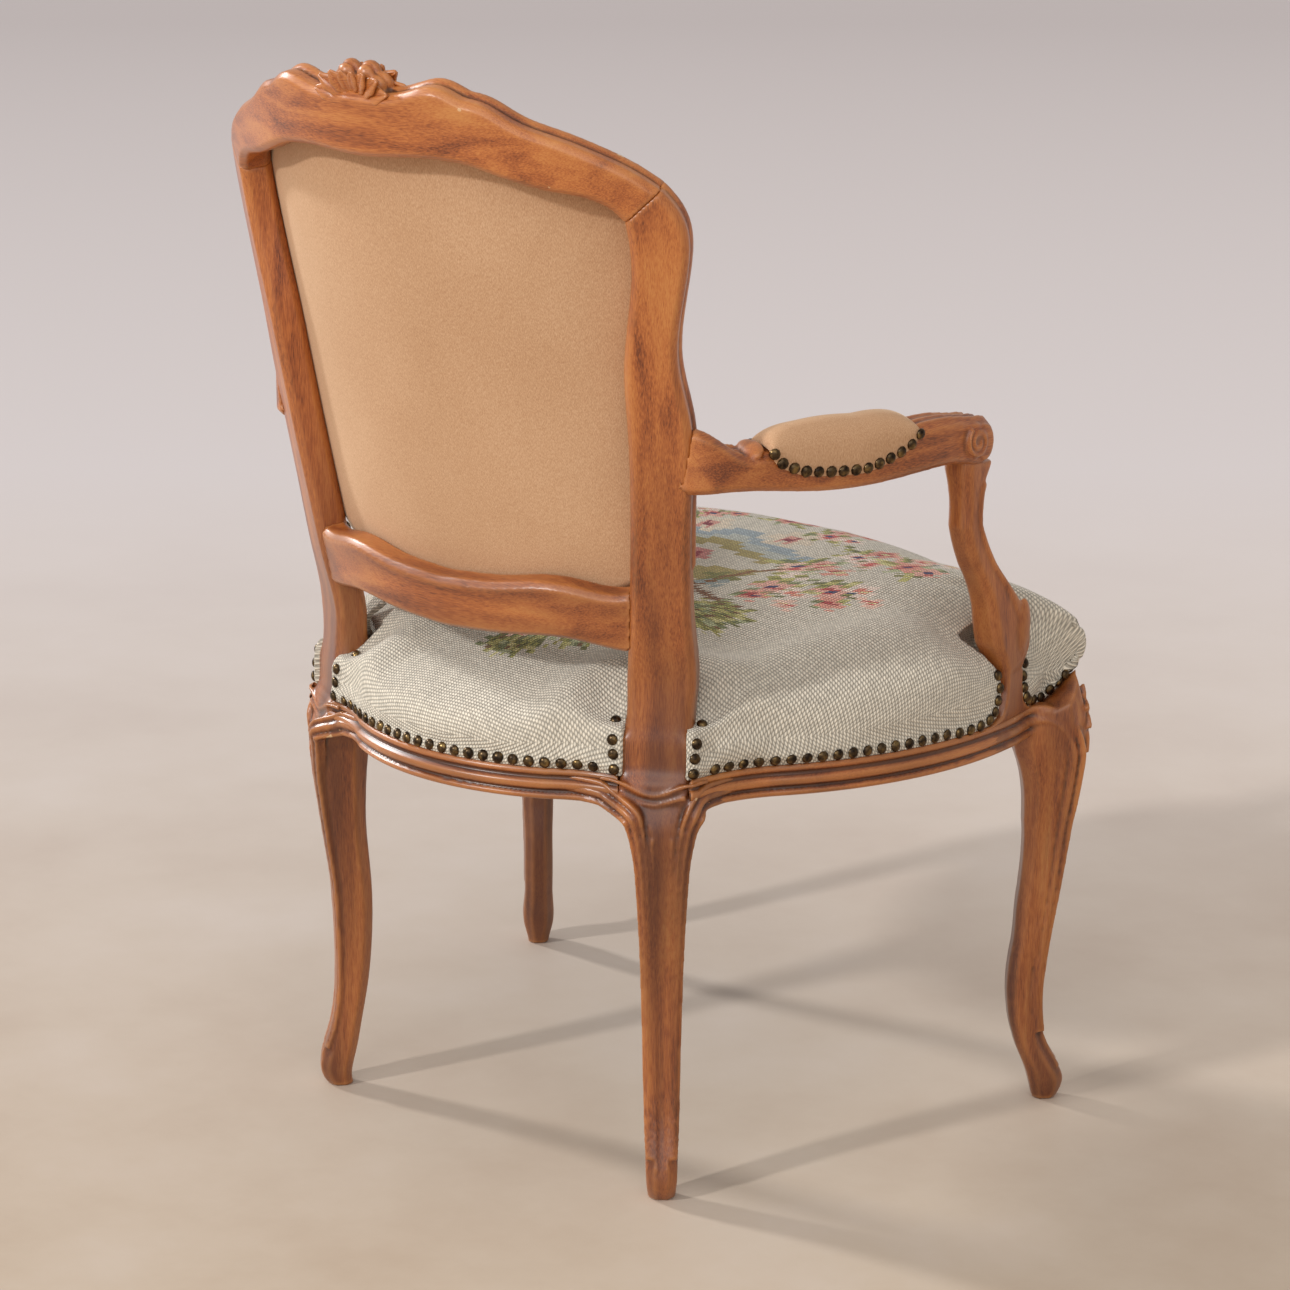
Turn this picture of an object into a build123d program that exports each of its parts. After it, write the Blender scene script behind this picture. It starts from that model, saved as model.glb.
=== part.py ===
from build123d import *
import os
from math import asin, cos, radians, sin

# Rococo armchair: a moulded and carved beech frame with a stuffed seat, back and arm pads.
# Millimetres. +Z is up, the sitter faces -Y and +X is the sitter's left.
# The origin is on the floor, under the middle of the chair's outer box.
# Left-hand pieces are modelled, and right-hand ones are their mirror images in the YZ plane.

# Clearances
soft_gap = 0.3        # cloth and stuffing to the wood and to each other
peg_depth = 22.0      # how far a dowel enters each piece

# Legs: foot centres, and which way each leg's outer face looks, from +Y towards +X
rear_leg_x = 191.5
rear_leg_y = 160.5
rear_leg_turn = 41.0
front_leg_x = 309.0
front_leg_y = -231.5
front_leg_turn = 135.0
leg_length = 345.0    # floor to the underside of the seat rails
leg_corner = 0.26     # share of a leg's width that its cut corners take

# Leg curves, foot to rail: share of the leg's length, outer face, inner face, width.
# The faces are measured from the upright through the foot's centre.
rear_leg_form = [
    (0.00, 10.5, -10.5, 22.0),
    (0.085, 17.0, -13.0, 27.0),
    (0.125, 12.6, -16.0, 27.5),
    (0.19, 6.0, -20.0, 28.0),
    (0.27, 2.8, -25.0, 29.0),
    (0.41, 2.3, -30.0, 31.0),
    (0.56, 4.6, -30.5, 34.0),
    (0.70, 11.0, -27.0, 37.0),
    (0.85, 17.5, -28.0, 42.0),
    (0.97, 19.5, -33.0, 50.0),
]
front_leg_form = [
    (0.00, 8.0, -11.5, 20.0),
    (0.055, 14.6, -16.5, 28.0),
    (0.08, 12.7, -19.5, 31.0),
    (0.14, 1.4, -29.0, 32.0),
    (0.215, -6.6, -37.0, 32.0),
    (0.30, -9.8, -40.3, 32.0),
    (0.39, -6.6, -38.6, 33.0),
    (0.495, 1.4, -33.8, 34.0),
    (0.61, 11.0, -28.0, 36.0),
    (0.73, 19.7, -23.0, 39.0),
    (0.83, 26.9, -22.0, 44.0),
    (0.94, 31.9, -28.0, 50.0),
    (1.01, 31.0, -36.0, 54.0),
    (1.09, 23.8, -38.0, 50.0),
    (1.16, 15.0, -38.0, 44.0),
]

# Seat frame
rail_height = 60.0
rail_thick = 28.0
moulding_height = 26.0    # the part of the rail that shows below the cover
moulding_proud = 8.0      # how far it stands out past the covered part
bead_height = 4.0         # the small bead along the moulding's lower edge
bead_groove = 2.5
seat_rear_y = 231.0       # middle of the rear rail's covered face
seat_front_y = -306.0     # middle of the front rail's covered face
seat_half_width = 303.0   # where the side rails stand furthest out
rear_bow_reach = 105.0    # half the length of the rear rail's outward bow
rear_bow_fall = 26.0
front_bow_reach = 150.0
front_bow_fall = 18.0
# Seat plan points, across and along: from the widest line and a foot, or from the front foot
side_bow_place = (-60.0, -85.0)
side_mid_place = (-2.0, -10.0)
side_end_place = (-3.0, 31.0)
knee_place = (13.0, -13.5)
front_end_place = (-31.0, -30.0)
# Middles of the plan's short arcs, from the middle of their chords
rear_dip = (-2.0, -4.5)
side_dip = (-7.0, -1.0)
knee_side_dip = (-5.0, -2.0)
knee_front_dip = (-2.0, 4.0)
front_dip = (1.0, 6.0)

# Back frame: rear faces lie on an upright drum that leans back with the posts
back_y = 225.5            # middle of the back's rear face, at back_z
back_z = 500.0
back_rake = 11.9          # degrees that the back leans
back_radius = 395.0
frame_thick = 28.0
post_turn = 29.0          # post's rear face at the seat, from +Y towards +X
post_foot_width = 60.0
post_foot_depth = 40.0
post_foot_back = 8.0      # post's rear face behind the foot's centre, at the seat
post_foot_in = 1.5        # post's middle inside the foot's centre, at the seat
post_taper = (3.0, 8.0, 3.0)   # width, depth and setback that the post loses over the rail
wood_corner = 5.0         # cut corners of the back frame and arms

# Post edges up the back: height along the lean, inner edge, outer edge
post_form = [
    (-64.0, 166.0, 216.5),
    (-15.0, 174.0, 219.0),
    (30.0, 180.5, 223.0),
    (95.0, 189.0, 231.0),
    (160.0, 195.0, 237.0),
    (208.0, 198.5, 234.5),
    (250.0, 206.5, 241.0),
    (290.0, 213.5, 250.0),
    (312.0, 214.5, 252.0),
]
crest_joint = (213.5, 328.0, 239.0, 351.0)   # inner end, outer end of the post's mitre

# Crest edges, middle to mitre: lower edge across and up, upper edge across and up
crest_form = [
    (0.0, 381.0, 0.0, 434.0),
    (43.0, 383.0, 43.0, 434.0),
    (68.0, 383.0, 68.0, 440.0),
    (96.0, 380.0, 96.0, 436.0),
    (121.0, 372.0, 121.0, 426.5),
    (142.0, 364.0, 142.0, 413.0),
    (163.0, 357.0, 164.0, 402.0),
    (186.0, 351.0, 190.0, 389.5),
    (203.0, 341.5, 211.0, 376.5),
    (209.5, 334.5, 227.0, 363.5),
]
flower_height = 437.0     # middle of the carved flower, up the lean
flower_radius = 21.0      # petal centres from the flower's middle
petal_radius = 9.5
petal_count = 6

# Lower back rail, middle to end: across, lower edge, upper edge
lower_rail_form = [
    (0.0, -28.0, 18.0),
    (45.0, -26.5, 20.0),
    (80.0, -25.0, 23.0),
    (110.0, -24.5, 25.0),
    (135.0, -28.0, 21.5),
    (158.0, -34.0, 16.0),
    (192.0, -40.0, 19.0),
]
lower_rail_thick = 25.0
lower_rail_inset = 3.0

# Arms, from the post forward: across, along, underside, top, width
arm_form = [
    (211.0, 172.0, 616.0, 664.0, 20.0),
    (229.0, 157.0, 614.0, 664.0, 38.0),
    (247.0, 128.0, 614.0, 650.0, 35.0),
    (266.0, 84.0, 609.0, 642.0, 34.0),
    (284.0, 34.0, 607.0, 640.0, 36.0),
    (296.0, -16.0, 610.0, 648.0, 37.0),
    (302.0, -66.0, 611.0, 649.0, 36.0),
    (303.0, -106.0, 606.0, 645.0, 36.0),
    (301.0, -137.0, 613.0, 635.0, 32.0),
]
scroll_radius = 15.0      # round boss on each side of the arm's front end
scroll_proud = 3.0

# Arm supports, from the rail up: height above the rail's moulding, along, depth, width
support_form = [
    (0.0, -138.0, 36.0, 26.0),
    (24.0, -140.0, 40.0, 28.0),
    (54.0, -143.0, 45.0, 30.0),
    (84.0, -143.0, 48.0, 30.0),
    (109.0, -139.0, 40.0, 28.0),
    (139.0, -127.0, 30.0, 26.0),
    (176.0, -113.0, 25.0, 25.0),
    (215.0, -106.0, 28.0, 27.0),
    (246.0, -105.0, 32.0, 29.0),
]
support_x = 301.0
support_corner = 6.0

# Stuffed seat: height of each level above the moulding at y = 0, its tilt up to the front,
# and how far it stands out from the rails' covered face
seat_form = [
    (0.0, 0.0, 3.0),
    (15.0, 0.01, 7.0),
    (33.0, 0.03, 8.0),
    (53.0, 0.06, 2.0),
    (66.0, 0.09, -15.0),
    (75.0, 0.11, -48.0),
    (83.0, 0.115, -100.0),
    (86.0, 0.115, -160.0),
]
cover_thick = 2.5
webbing_thick = 2.0
webbing_width = 50.0
hessian_thick = 1.0
seat_strap_pitch = 78.0
seat_strap_count = 5

# Stuffed back, middle to side: foot across and up, head across and up, crown before the frame
back_pad_form = [
    (0.0, 6.0, 0.0, 394.0, 36.0),
    (62.0, 6.0, 70.0, 394.0, 34.0),
    (118.0, 6.0, 134.0, 380.0, 28.0),
    (160.0, 8.0, 182.0, 362.0, 18.0),
    (191.0, 22.0, 224.0, 330.0, 7.0),
]
back_sheet_inset = 5.0        # back's cloths and webbing inside the stuffing's edge
outside_back_gap = 1.0        # outside back cover before the frame's front face
outside_back_thick = 1.5
back_edge = 2.5               # thickness of the back pad along its edge
back_strap_pitch = 95.0
back_rim = 14.0               # back nails outside the stuffing's edge

# Arm pads: share of the arm from post to scroll, half width, height above the arm
pad_form = [
    (0.245, 11.0, 6.0),
    (0.29, 14.5, 15.0),
    (0.36, 17.0, 23.0),
    (0.44, 18.0, 26.0),
    (0.52, 17.5, 23.0),
    (0.59, 15.0, 15.0),
    (0.63, 11.5, 6.0),
]
pad_wall = 0.4                # share of a pad's height that stands upright
pad_seat = 4.0                # how far a pad reaches below the arm's top before it is fitted

# Fixings
dowel_radius = 4.0
screw_radius = 2.0
screw_head_radius = 4.5
screw_head_height = 2.5
block_height = 36.0
rear_block_reach = 53.0       # corner block's inner face from the leg's upright
front_block_reach = 62.0
block_half_length = 48.0
block_screw_end = 14.0        # screw's point from the leg's upright
dowel_rises = (13.0, 39.0)    # seat dowels above the rails' underside
knee_half_width = 25.0        # part of the rails' moulding that belongs to a front leg
knee_reach = 38.0
nail_radius = 5.0
nail_height = 2.8
nail_pitch = 13.5
nail_rise = 5.0               # seat nails above the moulding
nail_spare = 1.5              # seat nails stop this far from the posts, knees and supports

# Dowel and screw places
rear_dowel_in = 12.0          # rear rail's dowels in front of its covered face
side_dowel_in = 9.3           # side rail's dowels at the post
side_dowel_end = 13.0         # their inner end from the post's middle
knee_dowel_y = 6.0            # side rail's dowels start this far behind the front foot
knee_dowel_place = (21.0, 15.5)   # front rail's dowels from the end of its face
knee_dowel_fall = 6.0
knee_dowel_length = 46.0
side_knee_dowel_length = 59.0
lower_rail_dowel = (178.0, -8.0)  # across and up the back
arm_dowel_shift = 10.0        # arm's dowel from the middle of its second section
arm_dowel_extra = 6.0
support_screw_rise = 16.0
support_screw_spread = 9.0
support_screw_reach = 5.0     # point past the support's middle

# Room that the cutting shapes take past the pieces
sheet_low = -60.0
sheet_high = 460.0
stuffing_room = 200.0

# Depths of the back's layers, from the frame's rear face
outside_back_near = frame_thick + outside_back_gap
outside_back_far = outside_back_near + outside_back_thick
web_near = outside_back_far + soft_gap
web_mid = web_near + webbing_thick
web_far = web_mid + webbing_thick
back_hessian_near = web_far + soft_gap
back_hessian_far = back_hessian_near + hessian_thick
stuffing_near = back_hessian_far + soft_gap

rail_bottom = leg_length
moulding_top = rail_bottom + moulding_height
rail_top = rail_bottom + rail_height
rear_mark = Vector(rear_leg_x, rear_leg_y, 0)
front_mark = Vector(front_leg_x, front_leg_y, 0)
post_mark = Vector(rear_leg_x - post_foot_in, rear_leg_y + post_foot_back, 0)


# Places and directions
def facing(turn):
    """Unit vectors outward and sideways for a face that is turned from +Y towards +X."""
    angle = radians(turn)
    return Vector(sin(angle), cos(angle), 0), Vector(cos(angle), -sin(angle), 0)


def on_back(x, depth, up):
    """A point of the back: across its rear face, in front of that face, and up the lean."""
    angle = asin(x / back_radius)
    radius = back_radius - depth
    behind = radius * cos(angle) - back_radius
    lean = radians(back_rake)
    y = back_y + behind * cos(lean) + up * sin(lean)
    z = back_z - behind * sin(lean) + up * cos(lean)
    return Vector(radius * sin(angle), y, z)


def forward_at(x):
    """Direction from the back's rear face towards its front, at one place across."""
    return (on_back(x, 1, 0) - on_back(x, 0, 0)).normalized()


# Solids from cross-sections
def grown_quad(quad, grow):
    middle = (quad[0] + quad[1] + quad[2] + quad[3]) * 0.25
    return [p + (p - middle).normalized() * (grow * 1.5) for p in quad]


def cut_corners(quad, cut):
    """Eight points: a four-cornered section with every corner cut back by one length."""
    points = []
    for before, here, after in zip(quad[-1:] + quad[:-1], quad, quad[1:] + quad[:1]):
        points.append(here + (before - here).normalized() * cut)
        points.append(here + (after - here).normalized() * cut)
    return points


def bar(quads, cuts, grow=0.0):
    """A bar through four-cornered sections; grow makes the same bar a little fatter."""
    wires = []
    for quad, cut in zip(quads, cuts):
        section = grown_quad(quad, grow) if grow else quad
        wires.append(Wire.make_polygon(cut_corners(section, cut), close=True))
    return Solid.make_loft(wires)


def flipped(p):
    return Vector(-p.X, p.Y, p.Z)


def mirrored(shape):
    return mirror(shape, about=Plane.YZ)


def leg_quads(form, foot_x, foot_y, turn):
    out, side = facing(turn)
    quads = []
    for share, outer, inner, width in form:
        middle = Vector(foot_x, foot_y, share * leg_length)
        half = side * (width / 2)
        quads.append([middle + out * outer - half, middle + out * outer + half,
                      middle + out * inner + half, middle + out * inner - half])
    return quads


def leg_cuts(form):
    return [width * leg_corner for _, _, _, width in form]


# Rear post: cabriole leg below, raked stile above, mitred to the crest
def post_foot_quad(z, narrower=0.0, thinner=0.0, setback=0.0):
    out, side = facing(post_turn)
    face = post_mark + Vector(0, -setback, z)
    half = side * ((post_foot_width - narrower) / 2)
    depth = post_foot_depth - thinner
    return [face - half, face + half, face + half - out * depth, face - half - out * depth]


def back_quad(x_low, up_low, x_high, up_high, thick, inset=0.0):
    """A section of the back frame: low or inner edge to high or outer edge, rear to front."""
    ahead = forward_at((x_low + x_high) / 2)
    low = on_back(x_low, 0, up_low) + ahead * inset
    high = on_back(x_high, 0, up_high) + ahead * inset
    return [low, high, high + ahead * thick, low + ahead * thick]


def post_left(grow=0.0):
    quads = leg_quads(rear_leg_form, rear_leg_x, rear_leg_y, rear_leg_turn)
    cuts = leg_cuts(rear_leg_form)
    quads.append(post_foot_quad(moulding_top))
    quads.append(post_foot_quad(rail_top + wood_corner, *post_taper))
    cuts += [wood_corner, wood_corner]
    for up, inner, outer in post_form:
        quads.append(back_quad(inner, up, outer, up, frame_thick))
        cuts.append(wood_corner)
    quads.append(back_quad(*crest_joint, frame_thick))
    cuts.append(wood_corner)
    return bar(quads, cuts, grow)


def front_leg_left(grow=0.0):
    quads = leg_quads(front_leg_form, front_leg_x, front_leg_y, front_leg_turn)
    return bar(quads, leg_cuts(front_leg_form), grow)


# Crest and lower back rail
def crest(grow=0.0):
    half = crest_form + [crest_joint]
    left = [back_quad(*section, frame_thick) for section in half]
    right = [[flipped(p) for p in quad] for quad in left[:0:-1]]
    quads = right + left
    return bar(quads, [wood_corner] * len(quads), grow)


def flower():
    """Petals round a boss, half sunk into the crest's upper edge and front face."""
    middle = on_back(0, frame_thick * 0.6, flower_height)
    up = (on_back(0, 0, 1) - on_back(0, 0, 0)).normalized()
    petals = [Pos(*middle) * Sphere(petal_radius)]
    for i in range(petal_count):
        angle = radians(360 / petal_count * i)
        place = middle + up * (0.45 * flower_radius * sin(angle)) + Vector(flower_radius * cos(angle), 0, 0)
        petals.append(Pos(*place) * Sphere(petal_radius))
    return petals


def lower_back_rail(grow=0.0):
    left = [back_quad(x, low, x, high, lower_rail_thick, lower_rail_inset)
            for x, low, high in lower_rail_form]
    right = [[flipped(p) for p in quad] for quad in left[:0:-1]]
    quads = right + left
    return bar(quads, [wood_corner] * len(quads), grow)


# Seat plan: a serpentine line of arcs round the rails' covered face
def seat_points(out=0.0):
    """Named points of the seat plan, moved outward from the seat's middle."""
    _, side = facing(post_turn)
    wide = Vector(seat_half_width, 0)
    points = {
        "rear_mid": Vector(0, seat_rear_y),
        "rear_bow": Vector(rear_bow_reach, seat_rear_y - rear_bow_fall),
        "rear_end": post_mark - side * (post_foot_width / 2),
        "side_start": post_mark + side * (post_foot_width / 2),
        "side_bow": wide + Vector(0, rear_leg_y) + Vector(*side_bow_place),
        "side_mid": wide + Vector(0, (rear_leg_y + front_leg_y) / 2) + Vector(*side_mid_place),
        "side_end": wide + Vector(0, front_leg_y) + Vector(*side_end_place),
        "knee": front_mark + Vector(*knee_place),
        "front_end": front_mark + Vector(*front_end_place),
        "front_bow": Vector(front_bow_reach, seat_front_y + front_bow_fall),
        "front_mid": Vector(0, seat_front_y),
    }
    arcs = [("rear_dip", "rear_bow", "rear_end", rear_dip), ("side_dip", "side_start", "side_bow", side_dip),
            ("knee_side", "side_end", "knee", knee_side_dip), ("knee_front", "knee", "front_end", knee_front_dip),
            ("front_dip", "front_end", "front_bow", front_dip)]
    for name, start, end, dip in arcs:
        points[name] = (points[start] + points[end]) * 0.5 + Vector(*dip)
    return {name: p + p.normalized() * out for name, p in points.items()}


def seat_wire(out, height, tilt=0.0):
    """Closed plan line of arcs and lines at one height, tilted up towards the front."""
    def at(name, sign):
        p = points[name]
        return Vector(sign * p.X, p.Y, height - tilt * p.Y)
    points = seat_points(out)
    edges = [Edge.make_three_point_arc(at("rear_bow", -1), at("rear_mid", 1), at("rear_bow", 1))]
    stretches = [("rear_bow", "rear_dip", "rear_end"), ("rear_end", None, "side_start"),
                 ("side_start", "side_dip", "side_bow"), ("side_bow", "side_mid", "side_end"),
                 ("side_end", "knee_side", "knee"), ("knee", "knee_front", "front_end"),
                 ("front_end", "front_dip", "front_bow")]
    for sign in (1, -1):
        for start, middle, end in stretches:
            if middle is None:
                edges.append(Edge.make_line(at(start, sign), at(end, sign)))
            else:
                edges.append(Edge.make_three_point_arc(at(start, sign), at(middle, sign), at(end, sign)))
    edges.append(Edge.make_three_point_arc(at("front_bow", 1), at("front_mid", 1), at("front_bow", -1)))
    return Wire(edges)


def plan_slab(out, bottom, top):
    return Solid.extrude(Face(seat_wire(out, bottom)), Vector(0, 0, top - bottom))


def rail_ring():
    """All four seat rails as one ring: covered part, moulding and lower bead."""
    bead_top = rail_bottom + bead_height
    ring = plan_slab(0, moulding_top, rail_top)
    ring += plan_slab(moulding_proud, bead_top + bead_groove, moulding_top)
    ring += plan_slab(moulding_proud - 3, bead_top, bead_top + bead_groove)
    ring += plan_slab(moulding_proud - 1, rail_bottom, bead_top)
    return ring - plan_slab(-rail_thick, rail_bottom, rail_top)


def corner_prism(mark, turn, half, inner):
    """Upright prism round a leg's top, where the rails' moulding belongs to the leg."""
    out, side = facing(turn)
    corners = [mark + side * half - out * inner, mark + side * half + out * inner,
               mark - side * half + out * inner, mark - side * half - out * inner]
    face = Face(Wire.make_polygon([Vector(p.X, p.Y, rail_bottom) for p in corners], close=True))
    return Solid.extrude(face, Vector(0, 0, rail_height))


def wedge(first, second):
    """Upright wedge from the seat's middle out past two plan points."""
    corners = [Vector(0, 0, 0), first * 2, second * 2]
    face = Face(Wire.make_polygon(corners, close=True))
    return Solid.extrude(face, Vector(0, 0, rail_top + 50))


# Arms and their supports
def arm_path():
    return [Vector(x, y, 0) for x, y, _, _, _ in arm_form]


def arm_left(grow=0.0):
    path = arm_path()
    quads = []
    for i, (x, y, low, high, width) in enumerate(arm_form):
        along = (path[min(i + 1, len(path) - 1)] - path[max(i - 1, 0)]).normalized()
        half = Vector(-along.Y, along.X, 0) * (width / 2)
        foot = Vector(x, y, low)
        head = Vector(x, y, high)
        quads.append([foot - half, head - half, head + half, foot + half])
    return bar(quads, [wood_corner] * len(quads), grow)


def scrolls():
    """Round bosses on both cheeks of the arm's front end."""
    x, y, low, high, width = arm_form[-2]
    length = width + 2 * scroll_proud
    middle = Vector(x, y - 6, (low + high) / 2)
    return Pos(*middle) * Rot(0, 90, 0) * Cylinder(scroll_radius, length)


def support_left(grow=0.0):
    quads = []
    for rise, y, depth, width in support_form:
        foot = Vector(support_x, y, moulding_top + rise)
        along = Vector(0, depth / 2, 0)
        across = Vector(width / 2, 0, 0)
        quads.append([foot - along - across, foot - along + across, foot + along + across, foot + along - across])
    return bar(quads, [support_corner] * len(quads), grow)


# Stuffed seat
def seat_dome(inset):
    """The seat's outer form, drawn in by inset all over."""
    wires = [seat_wire(out - inset, moulding_top + rise - (inset if i else 0), tilt)
             for i, (rise, tilt, out) in enumerate(seat_form)]
    return Solid.make_loft(wires, ruled=True)


# Stuffed back
def back_crescent(x_low, low, x_high, high, crown, rear, extra):
    """Section of the back pad at one place across: flat rear, arched front."""
    ahead = forward_at((x_low + x_high) / 2)
    foot = on_back(x_low, 0, low - extra)
    head = on_back(x_high, 0, high + extra)
    edge = stuffing_near + back_edge + extra
    a, e = foot + ahead * rear, head + ahead * rear
    b, d = foot + ahead * edge, head + ahead * edge
    c = (foot + head) * 0.5 + ahead * (frame_thick + crown + extra)
    return Wire([Edge.make_line(a, b), Edge.make_three_point_arc(b, c, d),
                 Edge.make_line(d, e), Edge.make_line(e, a)])


def back_pad(rear, extra):
    """The back pad with its rear at one depth, grown all round by extra."""
    x_low, low, x_high, high, crown = back_pad_form[-1]
    form = back_pad_form[:-1] + [(x_low + extra, low, x_high + extra, high, crown)]
    left = [back_crescent(*section, rear, extra) for section in form]
    right = [back_crescent(-section[0], section[1], -section[2], section[3], section[4], rear, extra)
             for section in form[:0:-1]]
    return Solid.make_loft(right + left, ruled=True)


def pad_outline(grow):
    """Left half of the back pad's edge, foot to head, moved outward from the pad's middle."""
    middle = Vector(0, (back_pad_form[0][1] + back_pad_form[0][3]) / 2)
    points = [Vector(x, up) for x, up, _, _, _ in back_pad_form]
    points += [Vector(x, up) for _, _, x, up, _ in reversed(back_pad_form)]
    return [p + (p - middle).normalized() * grow for p in points]


def back_sheet(near, far, window=None):
    """Curved sheet over the back's opening, between two depths."""
    tall = sheet_high - sheet_low
    drum = Pos(0, -back_radius, (sheet_low + sheet_high) / 2)
    sheet = drum * Cylinder(back_radius - near, tall) - drum * Cylinder(back_radius - far, tall)
    draw_in = (back_radius - far) / back_radius
    left = [Vector(p.X * draw_in, 0, p.Y) for p in pad_outline(-back_sheet_inset)]
    loop = left + [flipped(p) for p in reversed(left[1:-1])]
    face = Face(Wire.make_polygon(loop, close=True))
    sheet = sheet & Solid.extrude(face, Vector(0, -back_radius, 0))
    if window is not None:
        sheet = sheet & window
    return Pos(0, back_y, back_z) * Rot(-back_rake, 0, 0) * sheet


# Arm pads: arched sections along the arm
def arm_at(share):
    """Place on the arm's top and the direction along it, at a share of its length."""
    place = share * (len(arm_form) - 1)
    i = min(int(place), len(arm_form) - 2)
    x, y, low, high, width = [p + (q - p) * (place - i) for p, q in zip(arm_form[i], arm_form[i + 1])]
    path = arm_path()
    return Vector(x, y, high), (path[i + 1] - path[i]).normalized()


def pad_point(share, half, across, height):
    """A point of an arm pad: across the arm from its middle, and above the arm's top."""
    middle, along = arm_at(share)
    return middle + Vector(-along.Y, along.X, 0) * (half * across) + Vector(0, 0, height)


def arm_pad(extra, seat):
    """An arm pad, grown by extra, that reaches below the arm's top by seat."""
    wires = []
    ends = {0: -1, len(pad_form) - 1: 1}
    for i, (share, half, rise) in enumerate(pad_form):
        shift = arm_at(share)[1] * (extra * ends.get(i, 0))
        wide = half + extra
        low_a, low_b, wall_a, wall_b = [
            pad_point(share, wide, across, height) + shift
            for height in (-seat, rise * pad_wall) for across in (-1, 1)]
        top = pad_point(share, 0, 0, rise + extra) + shift
        wires.append(Wire([Edge.make_line(low_b, low_a), Edge.make_line(low_a, wall_a),
                           Edge.make_three_point_arc(wall_a, top, wall_b), Edge.make_line(wall_b, low_b)]))
    return Solid.make_loft(wires, ruled=True)


# Fixings
def peg(start, end, radius):
    return Solid.make_cylinder(radius, (end - start).length, Plane(origin=start, z_dir=end - start))


def screw(start, end):
    """Shank with a flat round head at its start."""
    head = start + (end - start).normalized() * screw_head_height
    return peg(start, end, screw_radius) + peg(start, head, screw_head_radius)


def nail_head():
    """Domed head with its flat underside on XY."""
    ball_radius = (nail_radius ** 2 + nail_height ** 2) / (2 * nail_height)
    ball = Pos(0, 0, nail_height - ball_radius) * Sphere(ball_radius)
    keep = Pos(0, 0, ball_radius) * Box(4 * ball_radius, 4 * ball_radius, 2 * ball_radius)
    return ball & keep


head = nail_head()


def nail(place, out):
    return Plane(origin=place, z_dir=out).location * head


def nails_along(corners, pitch, first=0.5):
    """Places at an even pitch along straight runs between points, with the run's direction."""
    places = []
    for start, end in zip(corners, corners[1:]):
        count = max(1, round((end - start).length / pitch))
        for i in range(count):
            places.append((start + (end - start) * ((i + first) / count), (end - start).normalized()))
    return places


def write(name, *solids):
    shape = solids[0] if len(solids) == 1 else Compound(children=list(solids))
    shape.label = name
    export_step(shape, f"parts/{name}.step")


# Wooden frame: each end is coped to the piece that it meets
ring = rail_ring()
post_corner = corner_prism(post_mark, post_turn, post_foot_width / 2, post_foot_depth)
knee_corner = corner_prism(front_mark, front_leg_turn, knee_half_width, knee_reach)
post = post_left() + (ring & post_corner)
leg = front_leg_left() + (ring & knee_corner)
arm = arm_left() + scrolls() - post
support = support_left() - arm
crest_rail = crest()
for petal in flower():
    crest_rail += petal
back_rail = lower_back_rail() - post - mirrored(post)
rear_rail = (ring & wedge(rear_mark, flipped(rear_mark))) - post - mirrored(post)
front_rail = (ring & wedge(flipped(front_mark), front_mark)) - leg - mirrored(leg)
side_rail = (ring & wedge(front_mark, rear_mark)) - post - leg - support

# Corner blocks: fill the rails' inner corners in front of each leg
block_bottom = rail_bottom + (rail_height - block_height) / 2
inner_slab = plan_slab(-rail_thick, block_bottom, block_bottom + block_height)


def corner_block(mark, reach, stop):
    """Block between two rails and a leg, with a flat face towards the seat's middle."""
    u = mark.normalized()
    side = Vector(-u.Y, u.X, 0) * block_half_length
    near = mark - u * reach
    far = mark + u * reach
    corners = [near - side, far - side, far + side, near + side]
    face = Face(Wire.make_polygon([Vector(p.X, p.Y, block_bottom) for p in corners], close=True))
    return (inner_slab & Solid.extrude(face, Vector(0, 0, block_height))) - stop


def block_screw(mark, reach):
    u = mark.normalized()
    lift = Vector(0, 0, block_bottom + block_height / 2)
    return screw(mark - u * reach + lift, mark - u * block_screw_end + lift)


rear_block = corner_block(rear_mark, rear_block_reach, post)
front_block = corner_block(front_mark, front_block_reach, leg)
rear_screw = block_screw(rear_mark, rear_block_reach)
front_screw = block_screw(front_mark, front_block_reach)

# Dowels of the left half
seat = seat_points()
post_out, post_side = facing(post_turn)
dowel_lifts = [Vector(0, 0, rail_bottom + rise) for rise in dowel_rises]
rear_line = post_mark - post_out * rear_dowel_in - post_side * (post_foot_width / 2)
rear_way = post_side * peg_depth
side_line = post_mark - post_out * side_dowel_in + post_side * side_dowel_end
side_way = (seat["side_bow"] - seat["side_start"]).normalized() * (2 * peg_depth)
knee_line = Vector(seat["side_end"].X - rail_thick / 2, front_leg_y + knee_dowel_y)
knee_way = Vector(0, side_knee_dowel_length)
front_line = seat["front_end"] + Vector(*knee_dowel_place)
front_way = Vector(-knee_dowel_length, -knee_dowel_fall)
stagger = Vector(0, 0, 2.5 * dowel_radius)
seat_dowels = []
for lift in dowel_lifts:
    seat_dowels += [
        peg(rear_line - rear_way + lift, rear_line + rear_way + lift, dowel_radius),
        peg(side_line + lift + stagger, side_line + side_way + lift + stagger, dowel_radius),
        peg(knee_line + lift, knee_line + knee_way + lift, dowel_radius),
        peg(front_line + lift + stagger, front_line + front_way + lift + stagger, dowel_radius),
    ]

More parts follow.
